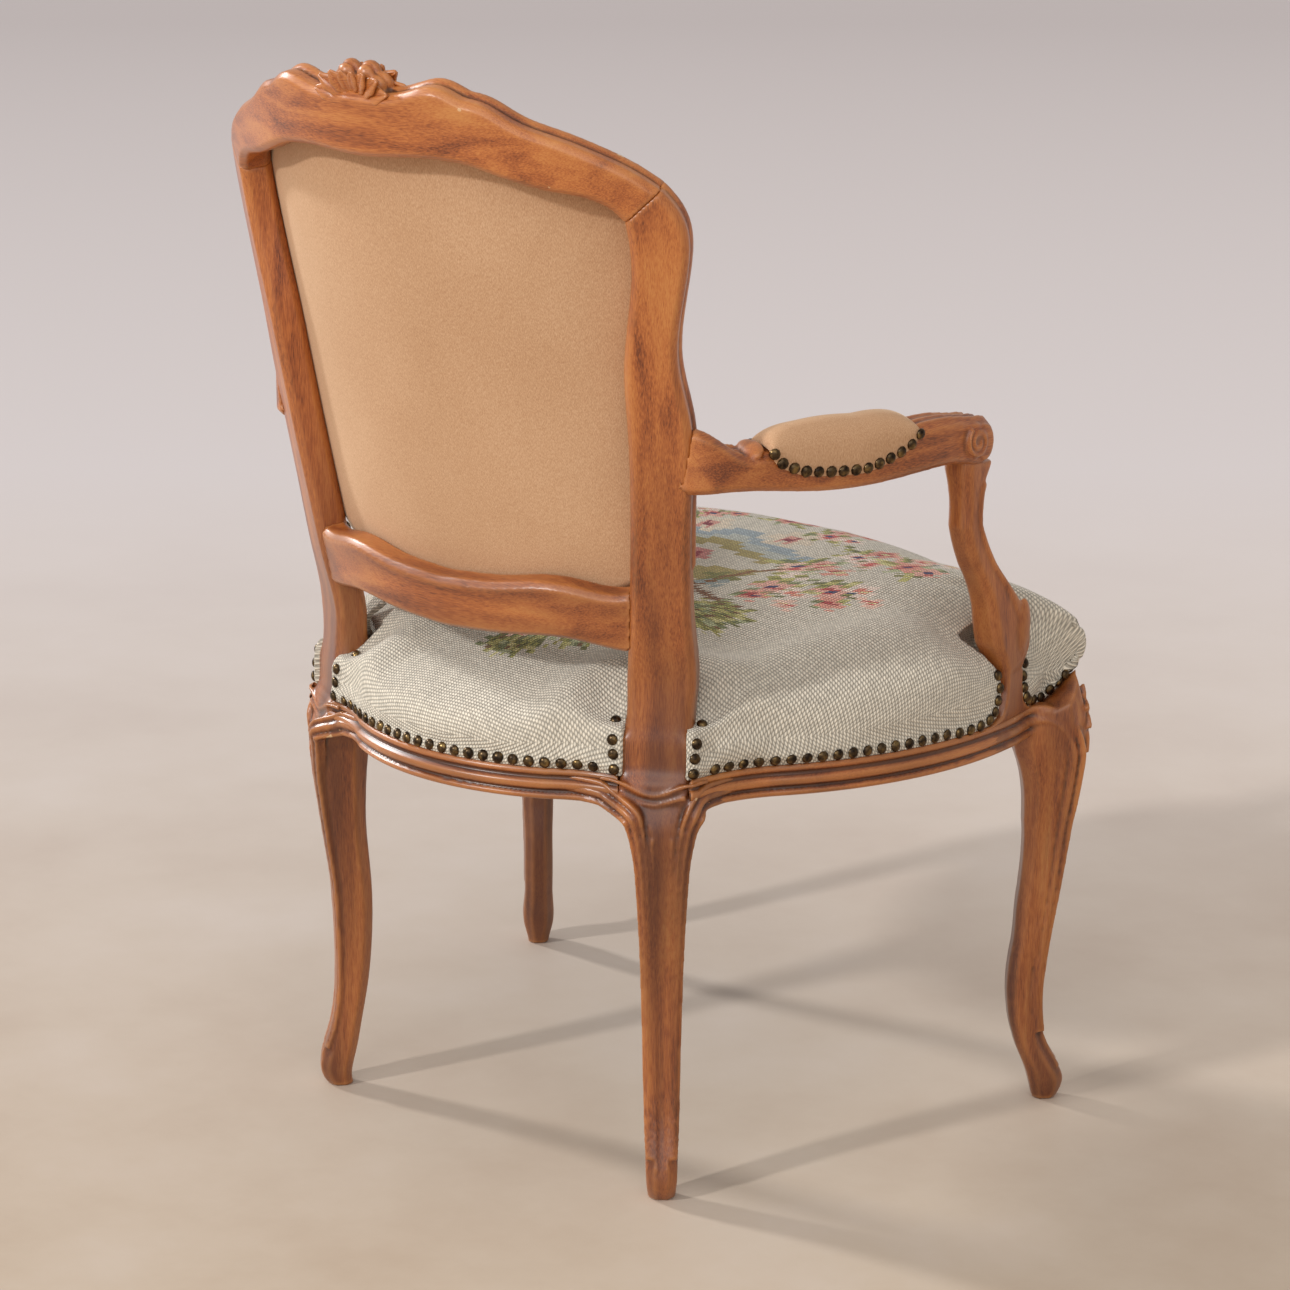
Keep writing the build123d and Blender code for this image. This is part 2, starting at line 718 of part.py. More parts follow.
x_in, up_in, x_out, up_out = crest_joint
mitre_mid = on_back((x_in + x_out) / 2, frame_thick / 2, (up_in + up_out) / 2)
mitre_line = (on_back(x_out, 0, up_out) - on_back(x_in, 0, up_in)).normalized()
mitre_way = mitre_line.cross(forward_at((x_in + x_out) / 2)).normalized()
rail_end_x, rail_end_up = lower_rail_dowel
rail_end = [on_back(rail_end_x + shift, frame_thick / 2, rail_end_up) for shift in (-peg_depth, peg_depth)]
back_dowels = [
    peg(mitre_mid - mitre_way * peg_depth, mitre_mid + mitre_way * peg_depth, dowel_radius),
    peg(*rail_end, dowel_radius),
]
arm_x, arm_y, arm_low, arm_high, _ = arm_form[1]
arm_joint = Vector(arm_x - arm_dowel_shift, arm_y + arm_dowel_shift, (arm_low + arm_high) / 2)
arm_way = (arm_path()[2] - arm_path()[0]).normalized()
tip_x, tip_y, tip_low, _, _ = arm_form[-2]
arm_dowels = [
    peg(arm_joint - arm_way * peg_depth, arm_joint + arm_way * (peg_depth + arm_dowel_extra), dowel_radius),
    peg(Vector(support_x, tip_y, tip_low - peg_depth), Vector(support_x, tip_y, tip_low + peg_depth), dowel_radius),
]
support_y = support_form[0][1]
screw_z = moulding_top + support_screw_rise
support_screws = [
    screw(Vector(support_x - rail_thick + 1, support_y + shift, screw_z),
          Vector(support_x + support_screw_reach, support_y + shift, screw_z))
    for shift in (-support_screw_spread, support_screw_spread)
]


def drilled(shape, *tools):
    """The shape less every tool that comes near it."""
    box = shape.bounding_box()
    near = [tool for tool in tools if box.overlaps(tool.bounding_box())]
    return shape - near if near else shape


post = drilled(post, *seat_dowels, *back_dowels, arm_dowels[0], rear_screw)
leg = drilled(leg, *seat_dowels, front_screw)
side_rail = drilled(side_rail, *seat_dowels, *support_screws)
support = drilled(support, *support_screws, arm_dowels[1])
arm = drilled(arm, *arm_dowels)
rear_block = drilled(rear_block, rear_screw)
front_block = drilled(front_block, front_screw, *seat_dowels)
both_dowels = seat_dowels + [mirrored(d) for d in seat_dowels]
rear_rail = drilled(rear_rail, *both_dowels)
front_rail = drilled(front_rail, *both_dowels)
both_back = back_dowels + [mirrored(d) for d in back_dowels]
crest_rail = drilled(crest_rail, *both_back)
back_rail = drilled(back_rail, *both_back)

# Seat: webbing, hessian and stuffing under the nailed cover, and a cloth under the rails
fat_post = post_left(soft_gap)
fat_support = support_left(soft_gap)
fat_leg = front_leg_left(soft_gap)
seat_stops = [fat_post, fat_support, fat_leg]
seat_stops += [mirrored(stop) for stop in seat_stops]
strap_low = rail_top
strap_mid = strap_low + webbing_thick
strap_top = strap_mid + webbing_thick
hessian_top = strap_top + hessian_thick
strap_places = [(i - (seat_strap_count - 1) / 2) * seat_strap_pitch for i in range(seat_strap_count)]
long_reach = 2 * seat_half_width
along_slab = plan_slab(-rail_thick / 3, strap_low, strap_mid)
across_slab = plan_slab(-rail_thick / 3, strap_mid, strap_top)
seat_webbing = []
for place in strap_places:
    strap = Pos(place, 0, strap_low + webbing_thick / 2) * Box(webbing_width, long_reach * 2, webbing_thick)
    seat_webbing.append(drilled(along_slab & strap, *seat_stops))
    y = place + (rear_leg_y + front_leg_y) / 2
    strap = Pos(0, y, strap_mid + webbing_thick / 2) * Box(long_reach * 2, webbing_width, webbing_thick)
    seat_webbing.append(drilled(across_slab & strap, *seat_stops))
seat_hessian = drilled(plan_slab(-rail_thick / 3, strap_top, hessian_top), *seat_stops)
seat_inner = seat_dome(cover_thick + soft_gap)
stuffing_foot = Pos(0, 0, hessian_top + soft_gap + stuffing_room / 2)
stuffing_box = stuffing_foot * Box(2 * long_reach, 2 * long_reach, stuffing_room)
seat_stuffing = drilled(seat_inner & stuffing_box, *seat_stops)
seat_cover = drilled(seat_dome(0) - seat_dome(cover_thick), *seat_stops)
bottom_cloth = drilled(plan_slab(-rail_thick / 3, rail_bottom - hessian_thick, rail_bottom), *seat_stops)

# Back: cloth in the opening from behind, and webbing, hessian, stuffing and cover in front
outside_back = back_sheet(outside_back_near, outside_back_far)
back_webbing = []
for i in (-1, 0, 1):
    middle = (sheet_low + sheet_high) / 2
    upright = Pos(i * back_strap_pitch, -back_radius / 2, middle) * Box(webbing_width, back_radius, 2 * sheet_high)
    level = Pos(0, -back_radius / 2, middle + i * back_strap_pitch) * Box(long_reach, back_radius, webbing_width)
    back_webbing.append(back_sheet(web_near, web_mid, upright))
    back_webbing.append(back_sheet(web_mid, web_far, level))
back_hessian = back_sheet(back_hessian_near, back_hessian_far)
back_stuffing = back_pad(stuffing_near, 0)
back_hollow = back_pad(frame_thick - 2 * wood_corner, soft_gap)
back_cover = back_pad(frame_thick + 3 * soft_gap, cover_thick + soft_gap) - back_hollow

# Arm pads, fitted to the arm's top
fat_arm = arm_left(soft_gap)
pad_stuffing = arm_pad(0, pad_seat) - fat_arm
pad_cover = arm_pad(cover_thick + soft_gap, pad_seat) - arm_pad(soft_gap, 2 * pad_seat) - fat_arm

# Nails: round the seat, round each arm pad, and round the inside of the back
slope_rise, _, slope_out = seat_form[1]
slope = (slope_out - seat_form[0][2]) / slope_rise
nail_out = seat_form[0][2] + slope * nail_rise + 2 * soft_gap
nail_line = seat_wire(nail_out, moulding_top + nail_rise)
nail_edge = nail_radius + nail_spare
_, knee_side = facing(front_leg_turn)
leg_top_width = max(width for _, _, _, width in front_leg_form)
seat_nails = []
for edge in nail_line.edges():
    count = 2 * round(edge.length / nail_pitch / 2)
    for i in range(count):
        place = edge.position_at((i + 0.5) / count)
        along = edge.tangent_at((i + 0.5) / count)
        out = Vector(along.Y, -along.X, 0)
        out = out if out.dot(place) > 0 else -out
        at_post = abs((place - post_mark).dot(post_side)) < post_foot_width / 2 + nail_edge and place.Y > 0
        at_knee = abs((place - front_mark).dot(knee_side)) < leg_top_width / 2 + nail_edge and place.Y < 0
        at_support = abs(place.Y - support_y) < support_form[0][2] / 2 + nail_edge
        if place.X > 0 and not (at_post or at_knee or at_support):
            seat_nails.append(nail(place, out - Vector(0, 0, slope)))

pad_nails = []
for way in (-1, 1):
    edge_line = [pad_point(share, half + cover_thick + 2 * soft_gap, way, nail_radius)
                 for share, half, _ in pad_form[1:-1]]
    for place, along in nails_along(edge_line, nail_pitch):
        pad_nails.append(nail(place, Vector(-along.Y, along.X, 0) * way))

rim_depth = frame_thick + 3 * soft_gap
back_nails = []
for place, _ in nails_along(pad_outline(back_rim), nail_pitch):
    back_nails.append(nail(on_back(place.X, rim_depth, place.Y), forward_at(place.X)))

os.makedirs("parts", exist_ok=True)
both = {
    "rear_post": post, "front_leg": leg, "arm": arm, "arm_support": support, "side_seat_rail": side_rail,
    "rear_corner_block": rear_block, "front_corner_block": front_block,
    "arm_pad_stuffing": pad_stuffing, "arm_pad_cover": pad_cover,
}
for name, solid in both.items():
    write(f"{name}_left", solid)
    write(f"{name}_right", mirrored(solid))
single = {
    "crest_rail": crest_rail, "lower_back_rail": back_rail, "rear_seat_rail": rear_rail, "front_seat_rail": front_rail,
    "seat_hessian": seat_hessian, "seat_stuffing": seat_stuffing, "seat_cover": seat_cover, "bottom_cloth": bottom_cloth,
    "outside_back_cover": outside_back, "back_hessian": back_hessian, "back_stuffing": back_stuffing,
    "inside_back_cover": back_cover,
}
for name, solid in single.items():
    write(name, solid)
groups = {
    "seat_dowels": both_dowels, "back_dowels": both_back, "arm_dowels": arm_dowels + [mirrored(d) for d in arm_dowels],
    "corner_block_screws": [rear_screw, front_screw, mirrored(rear_screw), mirrored(front_screw)],
    "arm_support_screws": support_screws + [mirrored(s) for s in support_screws],
    "seat_webbing": seat_webbing, "back_webbing": back_webbing,
    "seat_nails": seat_nails + [mirrored(n) for n in seat_nails],
    "back_nails": back_nails + [mirrored(n) for n in back_nails],
    "arm_pad_nails_left": pad_nails, "arm_pad_nails_right": [mirrored(n) for n in pad_nails],
}
for name, solids in groups.items():
    write(name, *solids)
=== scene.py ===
from math import cos, pi, radians, sin, tau
import bpy
import numpy as np
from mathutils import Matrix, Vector
from mathutils.bvhtree import BVHTree


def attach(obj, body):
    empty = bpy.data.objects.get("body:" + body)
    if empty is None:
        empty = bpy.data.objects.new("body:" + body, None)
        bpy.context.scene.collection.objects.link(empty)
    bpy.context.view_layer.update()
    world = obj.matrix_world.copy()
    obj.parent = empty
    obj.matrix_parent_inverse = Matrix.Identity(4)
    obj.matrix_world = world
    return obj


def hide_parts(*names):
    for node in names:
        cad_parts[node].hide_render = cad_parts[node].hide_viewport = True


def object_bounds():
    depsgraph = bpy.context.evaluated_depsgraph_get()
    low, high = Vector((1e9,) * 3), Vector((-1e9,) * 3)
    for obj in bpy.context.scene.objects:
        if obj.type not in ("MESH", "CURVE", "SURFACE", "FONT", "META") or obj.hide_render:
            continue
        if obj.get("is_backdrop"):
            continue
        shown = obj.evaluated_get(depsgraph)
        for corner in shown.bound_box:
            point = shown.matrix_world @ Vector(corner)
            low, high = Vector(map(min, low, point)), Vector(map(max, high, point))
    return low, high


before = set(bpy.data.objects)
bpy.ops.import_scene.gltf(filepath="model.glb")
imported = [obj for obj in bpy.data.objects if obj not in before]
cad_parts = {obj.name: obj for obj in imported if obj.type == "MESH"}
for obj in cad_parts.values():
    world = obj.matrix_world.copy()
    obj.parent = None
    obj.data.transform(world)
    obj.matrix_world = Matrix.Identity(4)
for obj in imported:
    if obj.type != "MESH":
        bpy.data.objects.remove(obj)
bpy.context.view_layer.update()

# Rococo armchair. Lengths in this file are millimetres, and meshes are made in metres.
# Wooden pieces start from the solids, and get their mouldings, carving and worn edges here.
MM = 0.001
rail_bottom = 345.0
moulding_top = 371.0
rail_top = 405.0
nail_radius = 5.0
nail_height = 2.8
nail_pitch = 13.5
stitch = 3.2              # one stitch of the needlepoint
wood_voxel = 1.6
leg_voxel = 1.45
soft_levels = 2
chance = np.random.default_rng(7)


# Places on the chair
def facing(turn):
    """Outward and sideways, in plan, for a face that is turned from +Y towards +X."""
    a = radians(turn)
    return np.array([sin(a), cos(a)]), np.array([cos(a), -sin(a)])


post_out, post_side = facing(29.0)
leg_out, leg_side = facing(41.0)
knee_out, knee_side = facing(135.0)
rear_foot = np.array([191.5, 160.5])
front_foot = np.array([309.0, -231.5])
post_mark = rear_foot + np.array([-1.5, 8.0])
knee = front_foot + np.array([13.0, -13.5])

back_y, back_z, back_radius = 225.5, 500.0, 395.0
lean = radians(11.9)


def on_back(x, depth, up):
    """A point of the back: across its rear face, in front of that face, and up the lean."""
    angle = np.arcsin(np.asarray(x, float) / back_radius)
    radius = back_radius - np.asarray(depth, float)
    behind = radius * np.cos(angle) - back_radius
    y = back_y + behind * cos(lean) + up * sin(lean)
    z = back_z - behind * sin(lean) + up * cos(lean)
    return np.stack(np.broadcast_arrays(radius * np.sin(angle), y, z), -1)


def off_back(p):
    """Across the rear face, depth before it and height up the lean, for points."""
    y, z = p[:, 1] - back_y, p[:, 2] - back_z
    behind = y * cos(lean) - z * sin(lean)
    up = y * sin(lean) + z * cos(lean)
    radius = np.hypot(p[:, 0], behind + back_radius)
    angle = np.arctan2(p[:, 0], behind + back_radius)
    return back_radius * np.sin(angle), back_radius - radius, up


def arc(a, m, b, count):
    """Points on the circle through three plan points, without the last one."""
    (ax, ay), (bx, by), (cx, cy) = a, m, b
    d = 2 * (ax * (by - cy) + bx * (cy - ay) + cx * (ay - by))
    ux = ((ax**2 + ay**2) * (by - cy) + (bx**2 + by**2) * (cy - ay) + (cx**2 + cy**2) * (ay - by)) / d
    uy = ((ax**2 + ay**2) * (cx - bx) + (bx**2 + by**2) * (ax - cx) + (cx**2 + cy**2) * (bx - ax)) / d
    start, mid, end = [np.arctan2(q[1] - uy, q[0] - ux) for q in (a, m, b)]
    sweep = (end - start) % tau
    if (mid - start) % tau > sweep:
        sweep -= tau
    angles = start + sweep * np.arange(count) / count
    radius = np.hypot(ax - ux, ay - uy)
    return np.stack([ux + radius * np.cos(angles), uy + radius * np.sin(angles)], -1)


def seat_half():
    """Left half of the rails' plan line, rear middle to front middle."""
    def between(a, b, dx, dy):
        return (a + b) / 2 + np.array([dx, dy])
    rear_mid, rear_bow = np.array([0, 231.0]), np.array([105.0, 205.0])
    rear_end, side_start = post_mark - post_side * 30, post_mark + post_side * 30
    side_bow, side_mid = np.array([243.0, 75.5]), np.array([301.0, -45.5])
    side_end = np.array([300.0, -200.5])
    front_end, front_bow = front_foot + np.array([-31.0, -30.0]), np.array([150.0, -288.0])
    front_mid = np.array([0, -306.0])
    parts = [
        arc(rear_mid, arc(rear_bow * [-1, 1], rear_mid, rear_bow, 4)[3], rear_bow, 40),
        arc(rear_bow, between(rear_bow, rear_end, -2, -4.5), rear_end, 24),
        rear_end + (side_start - rear_end) * (np.arange(20) / 20)[:, None],
        arc(side_start, between(side_start, side_bow, -7, -1), side_bow, 40),
        arc(side_bow, side_mid, side_end, 90),
        arc(side_end, between(side_end, knee, -5, -2), knee, 20),
        arc(knee, between(knee, front_end, -2, 4), front_end, 20),
        arc(front_end, between(front_end, front_bow, 1, 6), front_bow, 50),
        arc(front_bow, arc(front_bow * [-1, 1], front_mid, front_bow, 4)[3], front_mid, 60),
        front_mid[None],
    ]
    return np.concatenate(parts)


half = seat_half()
plan = np.concatenate([half, (half * [-1, 1])[-2:0:-1]])
plan_angle = np.arctan2(plan[:, 1], plan[:, 0])
plan_order = np.argsort(plan_angle)
plan_angles, plan_reach = plan_angle[plan_order], np.hypot(*plan.T)[plan_order]
half_run = np.concatenate([[0], np.cumsum(np.linalg.norm(np.diff(half, axis=0), axis=1))])


def plan_point(mark, distance):
    """The point of the rails' plan line that lies some way along it from a mark."""
    at = half_run[np.argmin(np.linalg.norm(half - mark, axis=1))] + distance
    return np.array([np.interp(at, half_run, half[:, k]) for k in (0, 1)])


def along_plan(mark, distance):
    """Place and outward direction on the rails' plan line, some way along it from a mark."""
    p, q = [plan_point(mark, distance + step) for step in (-4, 4)]
    away = np.array([p[1] - q[1], q[0] - p[0]]) / np.linalg.norm(q - p)
    return (p + q) / 2, away * np.sign(away @ p)


def seat_reach(p):
    """How far points stand out past the rails' covered face, and the face's reach there."""
    angle = np.arctan2(p[:, 1], p[:, 0])
    reach = np.interp(angle, plan_angles, plan_reach, period=tau)
    return np.hypot(p[:, 0], p[:, 1]) - reach, reach


def to_left(p):
    """Signs that carry points, in plan, over to the chair's left half."""
    return np.where(p[:, :1] < 0, [[-1.0, 1.0]], [[1.0, 1.0]])


def eased(ring):
    """A closed ring with each point drawn towards its neighbours."""
    return (np.roll(ring, 1, 0) + 2 * ring + np.roll(ring, -1, 0)) / 4


def even(line, spacing, closed=False):
    """The same line with points at an even spacing."""
    line = np.concatenate([line, line[:1]]) if closed else line
    run = np.concatenate([[0], np.cumsum(np.linalg.norm(np.diff(line, axis=0), axis=1))])
    count = max(2, round(run[-1] / spacing))
    at = np.linspace(0, run[-1], count + 1)[:-1] if closed else np.linspace(0, run[-1], count + 1)
    return np.stack([np.interp(at, run, line[:, k]) for k in range(line.shape[1])], -1)


# Modelling helpers
def only(obj):
    bpy.ops.object.select_all(action="DESELECT")
    obj.select_set(True)
    bpy.context.view_layer.objects.active = obj
    return obj


def linked(name, data):
    """A new object in the scene."""
    obj = bpy.data.objects.new(name, data)
    bpy.context.scene.collection.objects.link(obj)
    return obj


def edited(obj, operator, **settings):
    """Runs one edit-mode operator on a whole mesh."""
    only(obj)
    bpy.ops.object.mode_set(mode="EDIT")
    bpy.ops.mesh.select_all(action="SELECT")
    operator(**settings)
    bpy.ops.object.mode_set(mode="OBJECT")
    return obj


def joined(objs):
    only(objs[0])
    for o in objs:
        o.select_set(True)
    if len(objs) > 1:
        bpy.ops.object.join()
    return objs[0]


def node_copy(*names):
    """One merged copy of some solids."""
    made = [linked(name + "_copy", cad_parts[name].data.copy()) for name in names]
    for obj in made:
        obj.data.materials.clear()
    return edited(joined(made), bpy.ops.mesh.remove_doubles, threshold=1e-5)


def modified(obj, kind, **settings):
    """Adds one modifier and applies it."""
    only(obj)
    m = obj.modifiers.new("work", kind)
    for key, value in settings.items():
        setattr(m, key, value)
    bpy.ops.object.modifier_apply(modifier=m.name)
    return obj


def points(obj):
    """Vertex places in millimetres."""
    co = np.empty(len(obj.data.vertices) * 3, np.float32)
    obj.data.vertices.foreach_get("co", co)
    return co.reshape(-1, 3).astype(float) / MM


def set_points(obj, p):
    obj.data.vertices.foreach_set("co", (p * MM).astype(np.float32).ravel())
    obj.data.update()


def normals(obj):
    n = np.empty(len(obj.data.vertices) * 3, np.float32)
    obj.data.vertices.foreach_get("normal", n)
    return n.reshape(-1, 3).astype(float)


def surface(obj):
    """A piece's surface in millimetres, for finding places on it."""
    faces = [tuple(f.vertices) for f in obj.data.polygons]
    return BVHTree.FromPolygons([Vector(p) for p in points(obj)], faces)


def neighbour_mean(obj, values):
    """Mean of each vertex's neighbours."""
    e = np.empty(len(obj.data.edges) * 2, np.int32)
    obj.data.edges.foreach_get("vertices", e)
    a, b = e[::2], e[1::2]
    count = np.bincount(a, minlength=len(values)) + np.bincount(b, minlength=len(values))
    out = np.empty_like(values)
    for k in range(values.shape[1]):
        total = np.bincount(a, values[b, k], len(values)) + np.bincount(b, values[a, k], len(values))
        out[:, k] = total / np.maximum(count, 1)
    return out


def store_relief(obj):
    """Keeps how hollow (over 0.5) or proud (under 0.5) the surface is, for painted shade in hollows, painted
    highlights on proud parts, and wear at edges.
    """
    p = points(obj)
    wide = p
    for _ in range(4):
        wide = neighbour_mean(obj, wide)
    bend = ((wide - p) * normals(obj)).sum(1, keepdims=True)
    for _ in range(2):
        bend = neighbour_mean(obj, bend)
    relief = obj.data.attributes.new("relief", "FLOAT", "POINT")
    relief.data.foreach_set("value", np.clip(0.5 + bend[:, 0] * 0.8, 0, 1).astype(np.float32))


def mesh_from(name, verts, faces):
    mesh = bpy.data.meshes.new(name)
    mesh.from_pydata((np.asarray(verts) * MM).tolist(), [], faces)
    mesh.update()
    return linked(name, mesh)


def lofted(name, rings, caps=True):
    """A skin through closed rings of equal point counts."""
    n = len(rings[0])
    faces = [(k * n + i, k * n + (i + 1) % n, (k + 1) * n + (i + 1) % n, (k + 1) * n + i)
             for k in range(len(rings) - 1) for i in range(n)]
    if caps:
        faces += [tuple(range(n))[::-1], tuple((len(rings) - 1) * n + i for i in range(n))]
    skin = mesh_from(name, np.concatenate(rings), faces)
    return edited(skin, bpy.ops.mesh.normals_make_consistent, inside=False)


def bead(line, radius):
    """A round bead along points, as mesh."""
    curve = bpy.data.curves.new("bead", "CURVE")
    curve.dimensions = "3D"
    curve.bevel_depth = radius * MM
    curve.bevel_resolution = 2
    curve.use_fill_caps = True
    spline = curve.splines.new("POLY")
    spline.points.add(len(line) - 1)
    for p, place in zip(spline.points, line):
        p.co = (*(np.asarray(place) * MM), 1)
    obj = only(linked("bead", curve))
    bpy.ops.object.convert(target="MESH")
    return obj


def boss(place, size, turn=(0, 0, 0)):
    """An egg-shaped swelling for carving: half lengths, turned by degrees."""
    bpy.ops.object.select_all(action="DESELECT")
    bpy.ops.mesh.primitive_uv_sphere_add(segments=20, ring_count=12, radius=MM)
    obj = bpy.context.object
    obj.scale = size
    obj.rotation_euler = [radians(t) for t in turn]
    obj.location = np.asarray(place) * MM
    bpy.ops.object.transform_apply(location=True, rotation=True, scale=True)
    return obj


def carved_leaf(root, along, lift, long, wide, curl):
    """A lobed leaf with a vein, lying along one direction and swelling in another."""
    along, lift = [np.asarray(v, float) / np.linalg.norm(v) for v in (along, lift)]
    aside = np.cross(along, lift)
    t, across = np.meshgrid(np.linspace(0, 1, 11), np.linspace(-1, 1, 7), indexing="ij")
    spread = wide * np.sin(pi * np.clip(t, 0.03, 0.985) ** 0.75) ** 0.8 * (1 - 0.16 * np.cos(5 * tau * t / 2))
    crown = 0.34 * wide * np.sin(pi * t) * (1 - 0.6 * across**2)
    vein = 0.22 * wide * np.exp(-((across / 0.22) ** 2))
    rise = crown - vein + curl * t**2
    p = (np.asarray(root) + (long * t)[..., None] * along + (spread * across)[..., None] * aside
         + rise[..., None] * lift).reshape(-1, 3)
    faces = [(i * 7 + j, i * 7 + j + 1, i * 7 + j + 8, i * 7 + j + 7) for i in range(10) for j in range(6)]
    obj = mesh_from("leaf", p, faces)
    outward = 1 if np.dot(np.cross(aside, along), lift) > 0 else -1
    modified(obj, "SOLIDIFY", thickness=3.2 * MM, offset=outward)
    return modified(obj, "SUBSURF", levels=1, render_levels=1)


def smooth_rows(form, at):
    """Rows of a form at fractional places, on a smooth curve through them."""
    form = np.asarray(form, float)
    k = np.clip(np.floor(at).astype(int), 0, len(form) - 2)
    t = (at - k)[:, None]
    before, here = form[np.clip(k - 1, 0, None)], form[k]
    after, beyond = form[k + 1], form[np.clip(k + 2, None, len(form) - 1)]
    m0, m1 = (after - before) / 2, (beyond - here) / 2
    return ((2 * t**3 - 3 * t**2 + 1) * here + (t**3 - 2 * t**2 + t) * m0
            + (3 * t**2 - 2 * t**3) * after + (t**3 - t**2) * m1)


def swept(rows, profile, sense=1.0):
    """A moulding along rows of place, outward direction and size; the profile is across and out."""
    rows = smooth_rows(rows, np.linspace(0, len(rows) - 1, 8 * len(rows)))
    path, out, size = rows[:, :3], rows[:, 3:6], rows[:, 6]
    ahead = np.gradient(path, axis=0)
    ahead /= np.linalg.norm(ahead, axis=1, keepdims=True)
    out = out - (out * ahead).sum(1, keepdims=True) * ahead
    out /= np.linalg.norm(out, axis=1, keepdims=True)
    across = np.cross(ahead, out) * sense
    return lofted("moulding", [p + s * (profile[:, :1] * b + profile[:, 1:] * n)
                               for p, s, b, n in zip(path, size, across, out)])


def mirror_copy(obj):
    """The same mesh on the chair's other side."""
    other = linked(obj.name, obj.data.copy())
    set_points(other, points(other) * [-1, 1, 1])
    other.data.flip_normals()
    return other


def linear(hexcode):
    """sRGB hex to linear colour."""
    def channel(v):
        return v / 12.92 if v <= 0.04045 else ((v + 0.055) / 1.055) ** 2.4
    return (*[channel(int(hexcode[i:i + 2], 16) / 255) for i in (1, 3, 5)], 1.0)


def material(name):
    """A new material and its main shader."""
    m = bpy.data.materials.new(name)
    m.use_nodes = True
    return m, m.node_tree.nodes["Principled BSDF"]


def fill(m, n, links):
    """Sets a node's inputs, by name or number, to values or to other nodes' outputs."""
    for key, value in links.items():
        if isinstance(value, bpy.types.NodeSocket):
            m.node_tree.links.new(value, n.inputs[key])
        else:
            n.inputs[key].default_value = value


def node(m, kind, links=None, out=0, stops=(), **settings):
    """Adds a node and gives one of its outputs; stops are a ramp's places and hex colours."""
    n = m.node_tree.nodes.new("ShaderNode" + kind)
    for key, value in settings.items():
        setattr(n, key, value)
    if stops:
        bar = n.color_ramp.elements
        while len(bar) < len(stops):
            bar.new(0.5)
        for e, (place, hexcode) in zip(bar, stops):
            e.position = place
            e.color = linear(hexcode)
    fill(m, n, links or {})
    return n.outputs[out]


# Camera at the photograph's place
camera = linked("camera", bpy.data.cameras.new("camera"))
camera.data.lens = 103.26
camera.data.sensor_width = 36.0
camera.location = Vector((-2.0684, 2.3446, 1.2845))
aim = Vector((-0.0092, -0.0284, 0.4084))
camera.rotation_euler = (aim - camera.location).to_track_quat("-Z", "Y").to_euler()
bpy.context.scene.camera = camera
